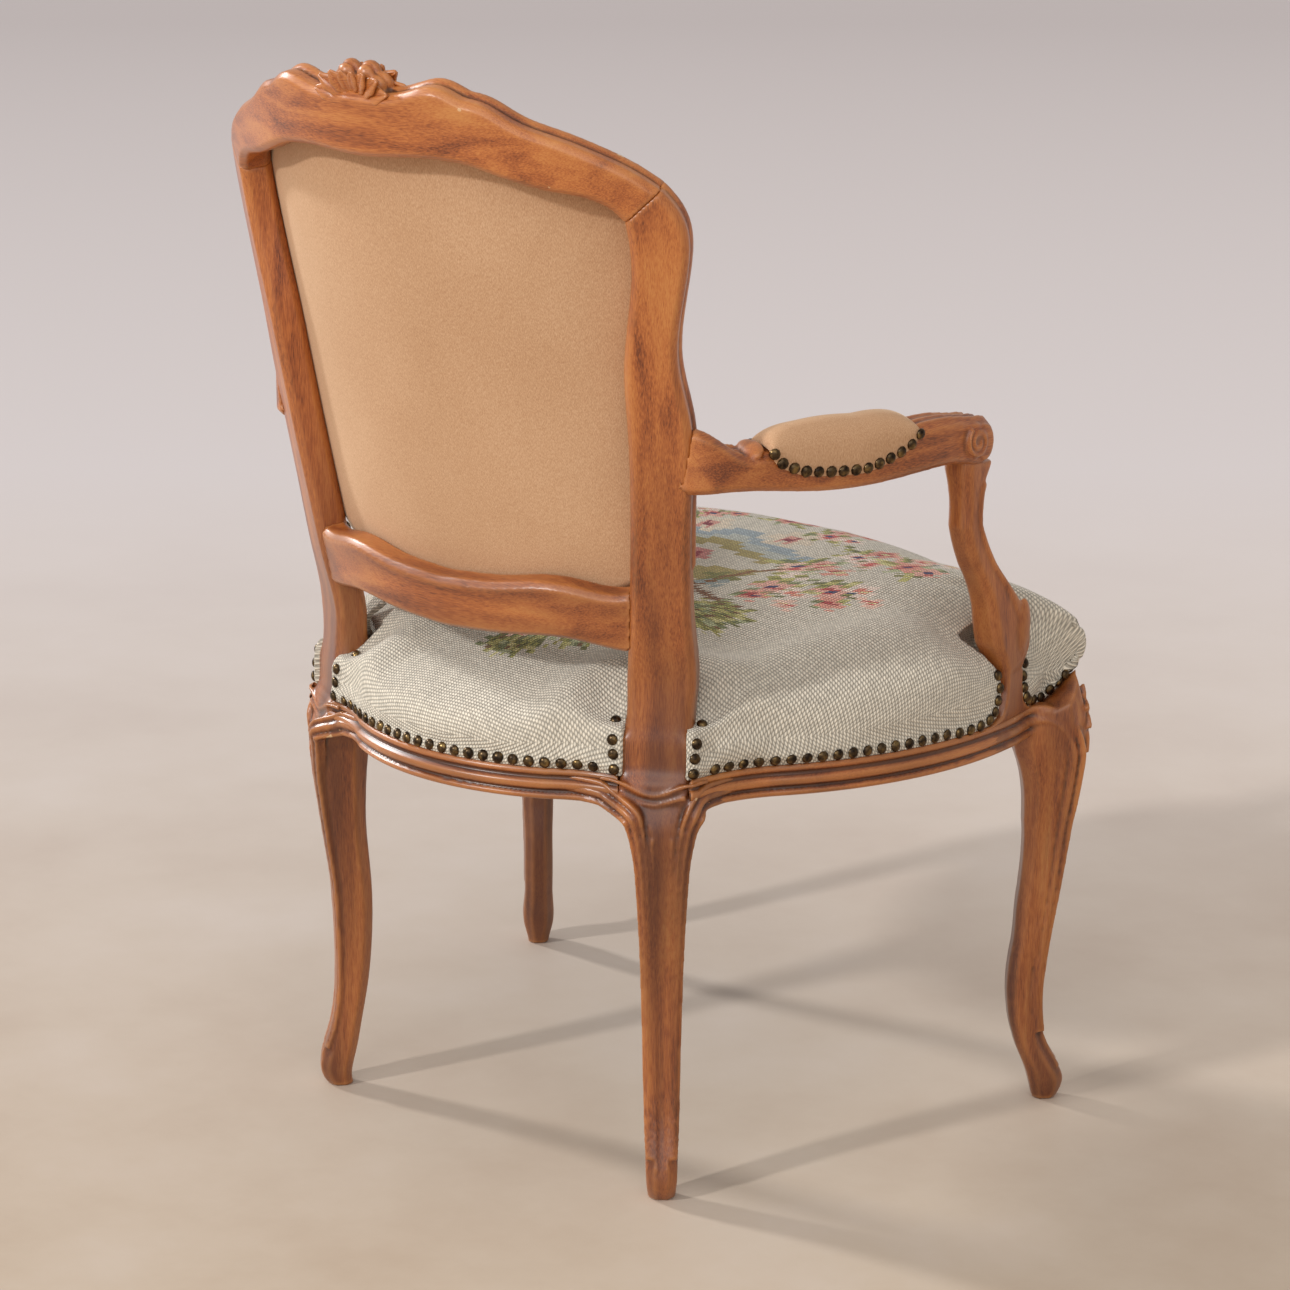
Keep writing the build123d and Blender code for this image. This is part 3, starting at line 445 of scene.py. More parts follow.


# Stained beech under satin lacquer: dark flecks of 0.9 x 12 mm and soft bands of 20 x 300 mm along the
# grain, stain in patches of 54 x 830 mm, darker low down on the legs and rails both as stain and as painted
# shade under the seat, painted shade in hollows, a painted highlight on proud parts, and pale wood in chips
# of 8 mm where edges are knocked
def stained_beech(name, grain):
    m, shader = material(name)
    fine, broad = [190.0] * 3, [34.0] * 3
    fine["XYZ".index(grain)], broad["XYZ".index(grain)] = 14.0, 2.2
    place = node(m, "TexCoord", out="Object")
    fine = node(m, "Mapping", {"Vector": place, "Scale": fine})
    broad = node(m, "Mapping", {"Vector": place, "Scale": broad})
    fleck = node(m, "TexNoise", {"Vector": fine, "Scale": 6.0, "Detail": 3.0, "Roughness": 0.6})
    band = node(m, "TexNoise", {"Vector": broad, "Scale": 1.5, "Detail": 4.0, "Distortion": 0.6})
    band = node(m, "Math", {0: band, 1: 0.55}, operation="MULTIPLY")
    streak = node(m, "Math", {0: fleck, 1: 0.45, 2: band}, operation="MULTIPLY_ADD")
    colour = node(m, "ValToRGB", {0: streak}, stops=[
        (0.36, "#6c3212"), (0.46, "#a55826"), (0.55, "#c17236"), (0.68, "#d08a48")])
    stain = node(m, "TexNoise", {"Vector": broad, "Scale": 0.55, "Detail": 3.0, "Distortion": 0.3})
    stain = node(m, "MapRange", {0: stain, 1: 0.36, 2: 0.62, 3: 0.25, 4: 1.0})
    # Darker low down, in the stain's patches: partly a darker stain, partly painted shade on the legs and
    # rails under the seat
    height = node(m, "SeparateXYZ", {0: place}, out=2)
    low = node(m, "MapRange", {0: height, 1: 0.38, 2: 0.70, 3: 0.80, 4: 0.10})
    low = node(m, "Math", {0: low, 1: stain}, operation="MULTIPLY")
    relief = node(m, "Attribute", out="Fac", attribute_name="relief")
    # hollow: painted shade, darkening grooves and hollows
    hollow = node(m, "MapRange", {0: relief, 1: 0.53, 2: 0.78, 3: 0.0, 4: 0.78})
    # proud: a painted highlight, lightening beads and proud parts
    proud = node(m, "MapRange", {0: relief, 1: 0.46, 2: 0.2, 3: 0.0, 4: 0.38})
    chips = node(m, "TexNoise", {"Vector": place, "Scale": 120.0, "Detail": 4.0})
    patch = node(m, "TexNoise", {"Vector": place, "Scale": 14.0, "Detail": 2.0})
    edge = node(m, "MapRange", {0: relief, 1: 0.44, 2: 0.2, 3: 0.0, 4: 0.10})
    worn = node(m, "Math", {0: chips, 1: patch, 2: edge}, operation="MULTIPLY_ADD")
    worn = node(m, "MapRange", {0: worn, 1: 0.505, 2: 0.525, 3: 0.0, 4: 0.75})
    # Mixed in turn: darker stain with painted shade low down, painted shade in hollows, a painted highlight
    # on proud parts, and pale wood at knocked edges
    for share, hexcode in ((low, "#431a07"), (hollow, "#35190a"), (proud, "#c98549"), (worn, "#dcb98c")):
        colour = node(m, "Mix", {0: share, 6: colour, 7: linear(hexcode)}, out=2, data_type="RGBA")
    cloud = node(m, "TexNoise", {"Vector": place, "Scale": 9.0, "Detail": 3.0})
    fill(m, shader, {
        "Base Color": colour,
        "Roughness": node(m, "MapRange", {0: cloud, 1: 0.3, 2: 0.7, 3: 0.30, 4: 0.44}),
        "Specular IOR Level": 0.5, "Coat Weight": 0.4, "Coat Roughness": 0.34,
        "Normal": node(m, "Bump", {"Height": fleck, "Strength": 0.06, "Distance": 0.0004})})
    return m


beech_up = stained_beech("stained_beech_up", "Z")
beech_across = stained_beech("stained_beech_across", "X")
beech_along = stained_beech("stained_beech_along", "Y")


# Where wood stands in the seat's edge, by height: the arm support's foot and the knee
foot_rear = [(364, -90), (369, -98), (371.5, -127), (377, -137), (385, -142), (395, -145), (412, -145),
             (440, -134), (470, -122)]
foot_front = [(364, -215), (369, -205), (371.5, -192), (378, -180), (388, -173), (400, -171), (412, -172),
              (440, -178), (470, -172)]
knee_half = [(366, 38), (371, 32), (377, 24), (384, 17), (391, 11), (395, 6), (399, 2), (403, 0)]


# Carving
paired = ("rear_post", "front_leg", "arm", "arm_support", "side_seat_rail")
single = ("crest_rail", "lower_back_rail", "rear_seat_rail", "front_seat_rail")
skin = node_copy(*[n for n in sorted(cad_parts) if n.rsplit("_", 1)[0] in paired or n in single])
wood_skin = surface(skin)
bpy.data.objects.remove(skin)


def on_wood(places):
    """The nearest points of the wooden frame's surface."""
    return np.array([wood_skin.find_nearest(Vector(p))[0] for p in places])


def softened(line, rounds=2):
    line = np.array(line, float)
    for _ in range(rounds):
        line[1:-1] = (line[:-2] + 2 * line[1:-1] + line[2:]) / 4
    return line


# Legs: height, outer reach and width
rear_leg = np.array([
    (0, 10.5, 22), (0.085, 17, 27), (0.125, 12.6, 27.5), (0.19, 6, 28), (0.27, 2.8, 29), (0.41, 2.3, 31),
    (0.56, 4.6, 34), (0.70, 11, 37), (0.85, 17.5, 42), (0.97, 19.5, 50)]).T * [[rail_bottom], [1], [1]]
front_leg = np.array([
    (0, 8, 20), (0.055, 14.6, 28), (0.08, 12.7, 31), (0.14, 1.4, 32), (0.215, -6.6, 32), (0.30, -9.8, 32),
    (0.39, -6.6, 33), (0.495, 1.4, 34), (0.61, 11, 36), (0.73, 19.7, 39), (0.83, 26.9, 44),
    (0.94, 31.9, 50)]).T * [[rail_bottom], [1], [1]]


def leg_bead(leg, foot, out, side, share, radius, low):
    """A bead down a leg's outer face, at a share of the half width from its middle."""
    line = []
    for z in np.arange(low, 325.0, 7.5):
        outer, width = [np.interp(z, leg[0], row) for row in leg[1:]]
        line.append([*(foot + out * (outer + 6) + side * (share * width / 2)), z])
    return bead(softened(on_wood(line), 3), radius)


# Rails' moulding, from below: fillet, hollow, ovolo, groove and bead
moulding_height = [345.0, 346.0, 348.0, 350.0, 351.2, 353.0, 354.6, 358.0, 361.2, 363.0, 364.6, 366.6, 369.0,
                   371.0]
moulding_reach = [5.0, 6.6, 7.2, 6.2, 3.8, 3.8, 7.2, 8.8, 7.6, 3.8, 3.8, 6.0, 6.2, 4.6]
strip = [(z - 358, reach - 5) for z, reach in zip(moulding_height, moulding_reach)]
strip = np.array(strip + [(13, -14), (-13, -14)])


def shape_rail(obj):
    p = points(obj)
    out, reach = seat_reach(p)
    face = (out > 2.6) & (p[:, 2] < moulding_top + 0.2) & (p[:, 2] > rail_bottom - 0.6)
    grow = (reach + np.interp(p[:, 2], moulding_height, moulding_reach)) / np.hypot(p[:, 0], p[:, 1])
    p[face, :2] *= grow[face, None]
    set_points(obj, p)


def shape_back_edge(obj):
    """A groove and a bead along the outer edge of the back frame, near its front."""
    p, n = points(obj), normals(obj)
    x, depth, up = off_back(p)
    ahead = on_back(x, 1.0, up) - on_back(x, 0.0, up)
    side = np.abs((n * ahead).sum(1)) < 0.6
    middle = on_back(np.zeros_like(x), depth, np.full_like(x, 200.0))
    outer = ((p - middle) * n).sum(1) > 0
    shift = np.interp(depth, [11, 14, 15.2, 16.4, 18, 21, 24, 27, 28.5],
                      [0, -0.4, -1.6, -0.4, 1.0, 2.0, 2.2, 1.2, 0])
    live = side & outer & (up > 30)
    p[live] += n[live] * shift[live, None]
    set_points(obj, p)


def finished(obj, name, slot, *replaced, skin_material=None):
    """Names a piece, gives it its finish and ties it to the chair."""
    obj.name = name
    if skin_material is not None:
        obj.data.materials.clear()
        obj.data.materials.append(skin_material)
    only(obj)
    bpy.ops.object.shade_smooth()
    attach(obj, "root")
    if replaced:
        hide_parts(*replaced)
    return obj


def carved(name, nodes, extras, finish, *shapers):
    """A wooden piece: solids and carving grown together, shaped, and worn at its edges."""
    obj = joined([node_copy(*nodes), *extras])
    fine = leg_voxel if "post" in name or "leg" in name else wood_voxel
    modified(obj, "REMESH", mode="VOXEL", voxel_size=fine * MM)
    modified(obj, "SMOOTH", factor=0.5, iterations=2)
    for shaper in shapers:
        shaper(obj)
    store_relief(obj)
    return finished(obj, name, "frame_wood", *nodes, skin_material=finish)


def grow_on(obj, *extras):
    """Grows more carved parts onto a shaped piece."""
    joined([obj, *extras])
    modified(obj, "REMESH", mode="VOXEL", voxel_size=leg_voxel * MM)
    modified(obj, "SMOOTH", factor=0.5, iterations=1)


def both_sides(name, extras, finish, *shapers):
    """Left piece from its solid, and its mirror image for the right one."""
    left = carved(f"{name}_left_carved", [f"{name}_left"], extras, finish, *shapers)
    finished(mirror_copy(left), f"{name}_right_carved", "frame_wood", f"{name}_right")


# Rear posts: the rails' mouldings turn down into the legs' edges, and a collar crosses the post's foot
post_extras, rear_flow = [], []
for sign in (-1, 1):
    post_extras.append(leg_bead(rear_leg, rear_foot, leg_out, leg_side, sign * 0.36, 1.5, 30.0))
    rows = []
    for far, z, lift, size in ((80, 355.6, -3.6, 0.82), (60, 355.5, 0.6, 0.82), (46, 354.5, 1.3, 0.83),
                               (36, 351.0, 1.8, 0.78)):
        p, away = along_plan(post_mark, sign * far)
        rows.append([*(p + away * (5 + lift)), z, *away, 0, size])
    for aside, z, size in ((27.5, 342, 0.70), (22.5, 330, 0.61), (19.5, 314, 0.54), (17.3, 295, 0.48),
                           (15.8, 265, 0.44), (14.4, 230, 0.40), (13.2, 190, 0.38), (12.2, 140, 0.36),
                           (11.4, 95, 0.35), (10.9, 62, 0.33), (10.2, 38, 0.28)):
        p = rear_foot + leg_out * (np.interp(z, *rear_leg[:2]) - 0.3) + leg_side * (sign * aside)
        rows.append([*p, z, *(leg_out * 0.94 + leg_side * (sign * 0.34)), 0, size])
    rear_flow.append(swept(rows, strip, -sign))
collar = []
for drop, radius, height, span in ((11.0, 1.8, 368.3, 44.0), (8.0, 2.0, 358.0, 27.0)):
    line = []
    for far in np.linspace(-span, span, 27):
        p, away = along_plan(post_mark, far)
        line.append([*(p + away * 9.0), height - drop * cos(np.clip(far / 34, -1, 1) * pi / 2) ** 2])
    collar.append(bead(on_wood(line), radius))


def ease_foot(obj):
    """Eases the step between the post and its foot block."""
    p = points(obj)
    for _ in range(90):
        part = np.interp(p[:, 2], [352, 366, 425, 445], [0, 0.5, 0.5, 0])[:, None]
        p = p + (neighbour_mean(obj, p) - p) * part
    set_points(obj, p)


both_sides("rear_post", post_extras, beech_up, shape_back_edge, ease_foot,
           lambda obj: grow_on(obj, *collar, *rear_flow))

# Front legs: edge beads, and a spray of carved leaves on the knee
leg_extras = []
for sign in (-1, 1):
    for share, radius, low in ((0.93, 3.0, 34.0), (0.50, 1.4, 40.0)):
        leg_extras.append(leg_bead(front_leg, front_foot, knee_out, knee_side, sign * share, radius, low))
knee_leaves = []
for u, z, turn, long, wide in (
        (0, 366, 180, 66, 11), (-4, 360, 150, 34, 8), (4, 360, -150, 34, 8), (-6, 366, 105, 24, 7),
        (6, 366, -105, 24, 7), (-5, 370, 60, 20, 6.5), (5, 370, -60, 20, 6.5), (0, 372, 0, 22, 6.5),
        (0, 318, 180, 34, 6)):
    root = on_wood([[*(front_foot + knee_side * u + knee_out * 60), z]])[0] - [*(knee_out * 2.6), 0]
    along = np.array([*(knee_side * sin(radians(turn))), cos(radians(turn))])
    tip = on_wood([root + along * long + np.array([*(knee_out * 20), 0])])[0]
    knee_leaves.append(carved_leaf(root, tip - root, [*knee_out, 0.15], long, wide, 1.0))


def shank(z):
    """How much slimmer the leg is than its solid, and how far its knee is drawn in, at heights."""
    slim = np.interp(z, [20, 60, 250, 325], [1.0, 0.86, 0.86, 1.0])
    return slim, np.interp(z, [150, 200, 262, 325, 372, 404], [0, -3, -8.5, -8.5, -4, 0])


rows = []
for far, z, lift in ((-160, 358, -4.0), (-125, 358, -0.6), (-90, 358.3, 0.7), (-62, 359.5, 1.2)):
    p, away = along_plan(knee, far)
    rows.append([*(p + away * (5 + lift)), z, *away, 0, 1.0])
for out, z, size in ((-14, 359.5, 1.0), (-2, 354.5, 0.97), (7, 344, 0.93), (11.5, 328, 0.90),
                     (10.5, 308, 0.86), (8.2, 285, 0.80), (5, 262, 0.74), (2, 232, 0.66), (-1.5, 200, 0.58),
                     (-6, 165, 0.50), (-9, 135, 0.42), (-11.5, 100, 0.38), (-9, 66, 0.36)):
    wide = np.interp(z, *front_leg[::2]) / 2 * shank(z)[0]
    rows.append([*(front_foot + knee_out * out - knee_side * (wide - 0.6)), z, *-knee_side, 0, size])
knee_flow = swept(rows, strip)

# A hollow-curved bracket under the front rail, beside the leg
rings = []
for t in np.linspace(0, 1, 9):
    p = plan_point(knee, 26 + 34 * t)
    away = p / np.linalg.norm(p)
    low = rail_bottom + 1.5 - 24 * (1 - t) ** 2.6
    corners = ((-17, low), (5.5, low), (5.5, 351), (-17, 351))
    rings.append(np.array([[*(p + away * reach), z] for reach, z in corners]))
leg_extras.append(lofted("bracket", rings))


def shape_leg(obj):
    """A slimmer shank, and a top that falls away from the knee's peak to the rails."""
    p = points(obj)
    slim, shift = shank(p[:, 2])
    axis = front_foot + knee_out * (np.interp(p[:, 2], *front_leg[:2]) - 16)[:, None]
    p[:, :2] = axis + (p[:, :2] - axis) * slim[:, None] + knee_out * shift[:, None]
    away = np.linalg.norm(p[:, :2] - knee, axis=1)
    heights, spreads = zip(*knee_half[::-1])
    p[:, 2] = np.minimum(p[:, 2], np.interp(away, spreads, heights, right=368.5))
    set_points(obj, p)
    for piece in knee_leaves:
        p = points(piece)
        p[:, :2] += knee_out * shank(p[:, 2])[1][:, None]
        set_points(piece, p)
    grow_on(obj, knee_flow, *knee_leaves)


both_sides("front_leg", leg_extras, beech_up, shape_leg)

# Seat rails
carved("rear_seat_rail_moulded", ["rear_seat_rail"], [], beech_across, shape_rail)
carved("front_seat_rail_moulded", ["front_seat_rail"], [], beech_across, shape_rail)
both_sides("side_seat_rail", [], beech_along, shape_rail)

# Crest: flower and leaves between the two cusps
crest_leaves = []
for depth, face in ((8.0, -1.0), (20.0, 1.0)):
    for angle, long, wide in ((6, 27, 7.5), (30, 25, 7.5), (54, 20, 7), (78, 17, 6.5), (102, 17, 6.5),
                              (126, 20, 7), (150, 25, 7.5), (174, 27, 7.5), (-16, 22, 6.5), (196, 22, 6.5)):
        x, rise = cos(radians(angle)), sin(radians(angle))
        root = on_back(13 * x, depth, 429 + 5 * rise)
        tip = on_back((13 + long) * x, depth + 2 * face, 429 + (5 + long) * rise)
        lift = on_back(13 * x, depth + face, 430.0) - on_back(13 * x, depth, 429.5)
        crest_leaves.append(carved_leaf(root, tip - root, lift, long, wide, 2.0))
crest_bosses = ((0, 432, 6.0), (-11, 430, 5.0), (11, 430, 5.0))
crest_extras = [boss(on_back(x, 14.0, up), (size, size, size)) for x, up, size in crest_bosses]
carved("crest_rail_carved", ["crest_rail"], crest_extras, beech_across, shape_back_edge,
       lambda obj: joined([obj, *crest_leaves]))
carved("lower_back_rail_carved", ["lower_back_rail"], [], beech_across)

# Arms: ridges on top, a volute on each cheek of the front end, and a small roll behind the pad
arm_form = np.array([
    (211, 172, 616, 664, 20), (229, 157, 614, 664, 38), (247, 128, 614, 650, 35), (266, 84, 609, 642, 34),
    (284, 34, 607, 640, 36), (296, -16, 610, 648, 37), (302, -66, 611, 649, 36), (303, -106, 606, 645, 36),
    (301, -137, 613, 635, 32)], float)


def arm_at(share):
    """Middle of the arm in plan, underside, top, half width and direction at a share of its length."""
    at = np.clip(share, 0, 1) * (len(arm_form) - 1)
    steps = np.arange(len(arm_form))
    x, y, low, high, width = [np.interp(at, steps, column) for column in arm_form.T]
    ahead = [np.interp(at + 0.15, steps, column) - np.interp(at - 0.15, steps, column)
             for column in arm_form.T[:2]]
    ahead = np.array(ahead) / np.hypot(*ahead)
    return np.array([x, y]), low, high, width / 2, ahead


arm_extras = []
scroll = np.array([303.0, -96.0, 627.5])
for cheek in (-1, 1):
    turns = np.linspace(0, 1.6 * tau, 46)
    reach = 13.6 - 9.8 * turns / turns[-1]
    spiral = np.stack([np.full_like(turns, scroll[0] + cheek * 21.0),
                       scroll[1] + reach * np.sin(turns + 0.6) / 0.7,
                       scroll[2] + reach * np.cos(turns + 0.6)], -1)
    arm_extras.append(bead(spiral, 1.8))
    arm_extras.append(boss(scroll + [cheek * 17.5, 0, 0], (3.6, 15.5 / 0.7, 15.5)))
for across in (-0.62, 0.0, 0.62):
    for first, last, count, radius in ((0.64, 0.95, 16, 2.4), (0.08, 0.235, 10, 2.2)):
        line = []
        for share in np.linspace(first, last, count):
            middle, _, high, wide, ahead = arm_at(share)
            line.append([*(middle + np.array([-ahead[1], ahead[0]]) * across * wide), high + 1])
        arm_extras.append(bead(softened(on_wood(line)), radius))
middle, _, high, wide, ahead = arm_at(0.268)
arm_turn = np.degrees(np.arctan2(ahead[1], ahead[0])) - 90
arm_extras.append(boss([*middle, high], (wide, 9.0, 5.5), (0, 0, arm_turn)))


def shape_arm(obj):
    """A shorter front end, and a hollow on top between the post and the pad."""
    p = points(obj)
    p[:, 1] = np.where(p[:, 1] < -60, -60 + (p[:, 1] + 60) * 0.7, p[:, 1])
    p[:, 2] -= 8 * np.exp(-(((p[:, 1] - 138) / 18) ** 2)) * np.clip((p[:, 2] - 622) / 22, 0, 1)
    set_points(obj, p)


both_sides("arm", arm_extras, beech_along, shape_arm)

# Arm supports: two ridges down the outer face, a swelling at the bend, and a flared foot on the rail
support_line = [(0, -138, 36), (24, -140, 40), (54, -143, 45), (84, -143, 48), (109, -139, 40),
                (139, -127, 30), (176, -113, 25), (215, -106, 28)]
support_extras = []
for share, radius in ((-0.98, 2.6), (-0.55, 1.8)):
    line = [[318.0, y + share * depth / 2, moulding_top + rise] for rise, y, depth in support_line[1:]]
    support_extras.append(bead(softened(on_wood(even(np.array(line), 8.0))), radius))
support_extras.append(boss((314.5, -158.0, 452.0), (5.0, 9.0, 26.0), (18, 0, 0)))
foot_steps = [(-98, 370), (-114, 370.5), (-127, 372.5), (-137, 377), (-142, 385), (-145, 395), (-146, 412),
              (-171, 412), (-171, 400), (-173, 388), (-180, 378), (-190, 373), (-203, 370.5), (-216, 370),
              (-216, 366.5), (-98, 366.5)]
ring = np.array([(305.0, y, z) for y, z in foot_steps])
reach, far = seat_reach(ring)[1][:, None], np.hypot(ring[:, :1], ring[:, 1:2])
rings = [np.concatenate([ring[:, :2] / far * (reach + proud), ring[:, 2:]], 1) for proud in (-3.0, 3.0, 7.0)]
foot = lofted("support_foot", rings)


def swing(obj):
    """The shaft's sweep: further forward low down and further back above, and a slim waist over the foot."""
    p = points(obj)
    z = p[:, 2]
    middle = np.interp(z, [row[0] + moulding_top for row in support_line], [row[1] for row in support_line])
    slim = np.interp(z, [380, 400, 415, 440], [0.8, 0.62, 0.66, 1.0])
    sweep = np.interp(z, [366, 400, 430, 450, 475, 514, 551, 580, 604], [-18, -19, -16, -11, -5, 8, 13, 8, 0])
    p[:, 1] = middle + (p[:, 1] - middle) * slim + sweep
    out, reach = seat_reach(p)
    proud = np.minimum(out, np.interp(z, [371, 412, 440, 460], [5, 7, 14, 40]))
    p[:, :2] *= ((reach + proud) / np.hypot(p[:, 0], p[:, 1]))[:, None]
    set_points(obj, p)


both_sides("arm_support", support_extras, beech_up, swing, lambda obj: grow_on(obj, foot))


# Soft pieces
def stuffed(obj, held, cap):
    """Lets air pressure fill a stitched skin for twenty frames; its first points stay nailed."""
    rest = points(obj)
    group = obj.vertex_groups.new(name="nailed")
    group.add(list(range(held)), 1.0, "REPLACE")
    only(obj)
    m = obj.modifiers.new("fill", "CLOTH")
    m.settings.use_pressure = True
    m.settings.uniform_pressure_force = 4.0
    m.settings.vertex_group_mass = "nailed"
    m.settings.effector_weights.gravity = 0
    m.settings.quality = 5
    m.settings.tension_stiffness = 30
    m.settings.compression_stiffness = 30
    m.point_cache.frame_start, m.point_cache.frame_end = 1, 20
    for f in range(1, 21):
        bpy.context.scene.frame_set(f)
    only(obj)
    bpy.ops.object.modifier_apply(modifier="fill")
    bpy.context.scene.frame_set(1)
    moved = points(obj) - rest
    far = np.linalg.norm(moved, axis=1)
    set_points(obj, rest + moved * np.minimum(1, cap / np.maximum(far, 1e-6))[:, None])
    obj.vertex_groups.clear()


def crowned(obj, levels, middle):
    """Rounds a ring skin by subdivision, and then gathers its innermost ring into one point."""
    modified(obj, "SUBSURF", levels=levels, render_levels=levels)
    near = np.linalg.norm(points(obj) - middle, axis=1) < 2.2
    only(obj)
    bpy.ops.object.mode_set(mode="EDIT")
    bpy.ops.mesh.select_all(action="DESELECT")
    bpy.ops.object.mode_set(mode="OBJECT")
    obj.data.vertices.foreach_set("select", near)
    bpy.ops.object.mode_set(mode="EDIT")
    bpy.ops.mesh.merge(type="CENTER")
    bpy.ops.object.mode_set(mode="OBJECT")


def unrolled(rings, flat):
    """Flat places of ring points: from the middle outward, by lengths on the surface."""
    places = [flat(rings[-1])]
    for outer, inner in zip(rings[-2::-1], rings[:0:-1]):
        step = flat(outer) - flat(inner)
        size = np.linalg.norm(step, axis=1, keepdims=True)
        away = flat(outer) - flat(rings[-1]).mean(0)
        away /= np.linalg.norm(away, axis=1, keepdims=True)
        step = np.where(size > 0.5, step / np.maximum(size, 1e-6), away)
        places.append(places[-1] + step * np.linalg.norm(outer - inner, axis=1, keepdims=True))
    return np.concatenate(places[::-1])


def give_map(obj, places):
    """A UV map in metres of cloth."""
    layer = obj.data.uv_layers.new(name="cloth")
    loops = np.empty(len(obj.data.loops), np.int32)
    obj.data.loops.foreach_get("vertex_index", loops)
    layer.data.foreach_set("uv", (places[loops] * MM).astype(np.float32).ravel())


# Needlework: a garden spray on a plain ground, worked one stitch at a time
cloth_reach = 440.0
canvas_side = int(2 * cloth_reach / stitch)
canvas = np.tile(np.array(linear("#e1d8c6")), (canvas_side, canvas_side, 1))
canvas_at = (np.arange(canvas_side) + 0.5) * stitch - cloth_reach
olives = [("#8f8d4a", "#cbc478"), ("#76773f", "#b2ae60"), ("#aaa257", "#dcd392"), ("#868d5e", "#c0c496")]
roses = [("#f8cfba", "#d8625a"), ("#f2b7a4", "#c24a46"), ("#fbe5d4", "#e68c78"), ("#eda48f", "#b23e3c")]


def stitched(x, y, reach, shape, hexcode):
    """Works the stitches round a place where shape(along, across) holds."""
    rows = slice(*np.searchsorted(canvas_at, (x - reach, x + reach)))
    columns = slice(*np.searchsorted(canvas_at, (y - reach, y + reach)))
    u, v = np.meshgrid(canvas_at[rows] - x, canvas_at[columns] - y, indexing="ij")
    canvas[rows, columns][shape(u, v)] = linear(hexcode)


def turned(u, v, angle):
    """Lengths along and across a direction."""
    return u * cos(angle) + v * sin(angle), v * cos(angle) - u * sin(angle)


def leaf(x, y, angle, long, wide, tones):
    """A pointed leaf of two tones, one on each side of its vein."""
    def body(u, v):
        a, b = turned(u, v, angle)
        return np.abs(b) < wide * np.sin(pi * np.clip(a / long, 0, 1)) ** 0.8, b
    stitched(x, y, long, lambda u, v: body(u, v)[0], tones[0])
    stitched(x, y, long, lambda u, v: body(u, v)[0] & (body(u, v)[1] > 0), tones[1])


def blossom(x, y, reach, petals, tones, heart, spin):
    """An open flower, with a throat of another tone and a heart."""
    def inside(share):
        def petal(u, v):
            return share * reach * (0.8 + 0.2 * np.cos(petals * (np.arctan2(v, u) + spin)))
        return lambda u, v: np.hypot(u, v) < petal(u, v)
    stitched(x, y, reach, inside(1.0), tones[0])
    stitched(x, y, reach, inside(0.46), tones[1])
    stitched(x, y, reach, lambda u, v: np.hypot(u, v) < 0.2 * reach, heart)


def stem(x0, y0, x1, y1, bow, half_width, hexcode):
    """A bowed stem of even width."""
    length = np.hypot(x1 - x0, y1 - y0)
    for t in np.linspace(0, 1, int(length / 2) + 2):
        lift = bow * 4 * t * (1 - t) / length
        x, y = x0 + (x1 - x0) * t - lift * (y1 - y0), y0 + (y1 - y0) * t + lift * (x1 - x0)
        stitched(x, y, half_width + stitch, lambda u, v: np.hypot(u, v) < half_width, hexcode)


def drift(x, y, long, wide, angle, *tones):
    """A band of worked colour, as ground or water would be shown."""
    for k, hexcode in enumerate(tones):
        def body(u, v):
            a, b = turned(u, v, angle)
            waves = 0.8 + 0.2 * np.sin(a / 6 + 2 * k)
            near = np.abs(b - wide * (0.5 * k - 0.4)) < wide * 0.36 * waves
            return near & (np.abs(a) < long * (1 - 0.12 * k))
        stitched(x, y, long + wide, body, hexcode)


def spray(x, y, heading, turn):
    """A cluster of blossoms among long leaves."""
    for k in range(9):
        way, long = heading + 0.75 * k + 0.4 * sin(k + turn), 33 + 9 * sin(2.1 * k + turn)
        leaf(x, y, way, long, 5.2, olives[(k + turn) % 4])
    stem(x, y, x + 34 * cos(heading), y + 34 * sin(heading), 5, 1.7, "#46546a")
    for k, (ahead, aside, reach) in enumerate(((0, 0, 17), (24, 12, 16), (10, -22, 14), (42, -5, 13))):
        bx = x + ahead * cos(heading) - aside * sin(heading)
        by = y + ahead * sin(heading) + aside * cos(heading)
        blossom(bx, by, reach, 5, roses[(k + turn) % 4], "#e9d9a2" if k % 2 else "#38406a", k + turn)


def shrub(x, y, size, turn):
    """A brown bush under leaves."""
    def body(u, v):
        return np.hypot(u, v * 0.8) < size * (0.7 + 0.12 * np.cos(5 * np.arctan2(v, u) + turn))
    stitched(x, y, size, body, "#8a6a42")
    for k in range(27):
        angle, far = 2.4 * k + turn, size * 0.92 * ((k + 0.5) / 27) ** 0.5
        leaf_x, leaf_y = x + far * cos(angle), y + far * sin(angle)
        for arm in range(3):
            leaf(leaf_x, leaf_y, angle + 2.1 * arm, 11, 3.4, olives[(k + arm) % 4])


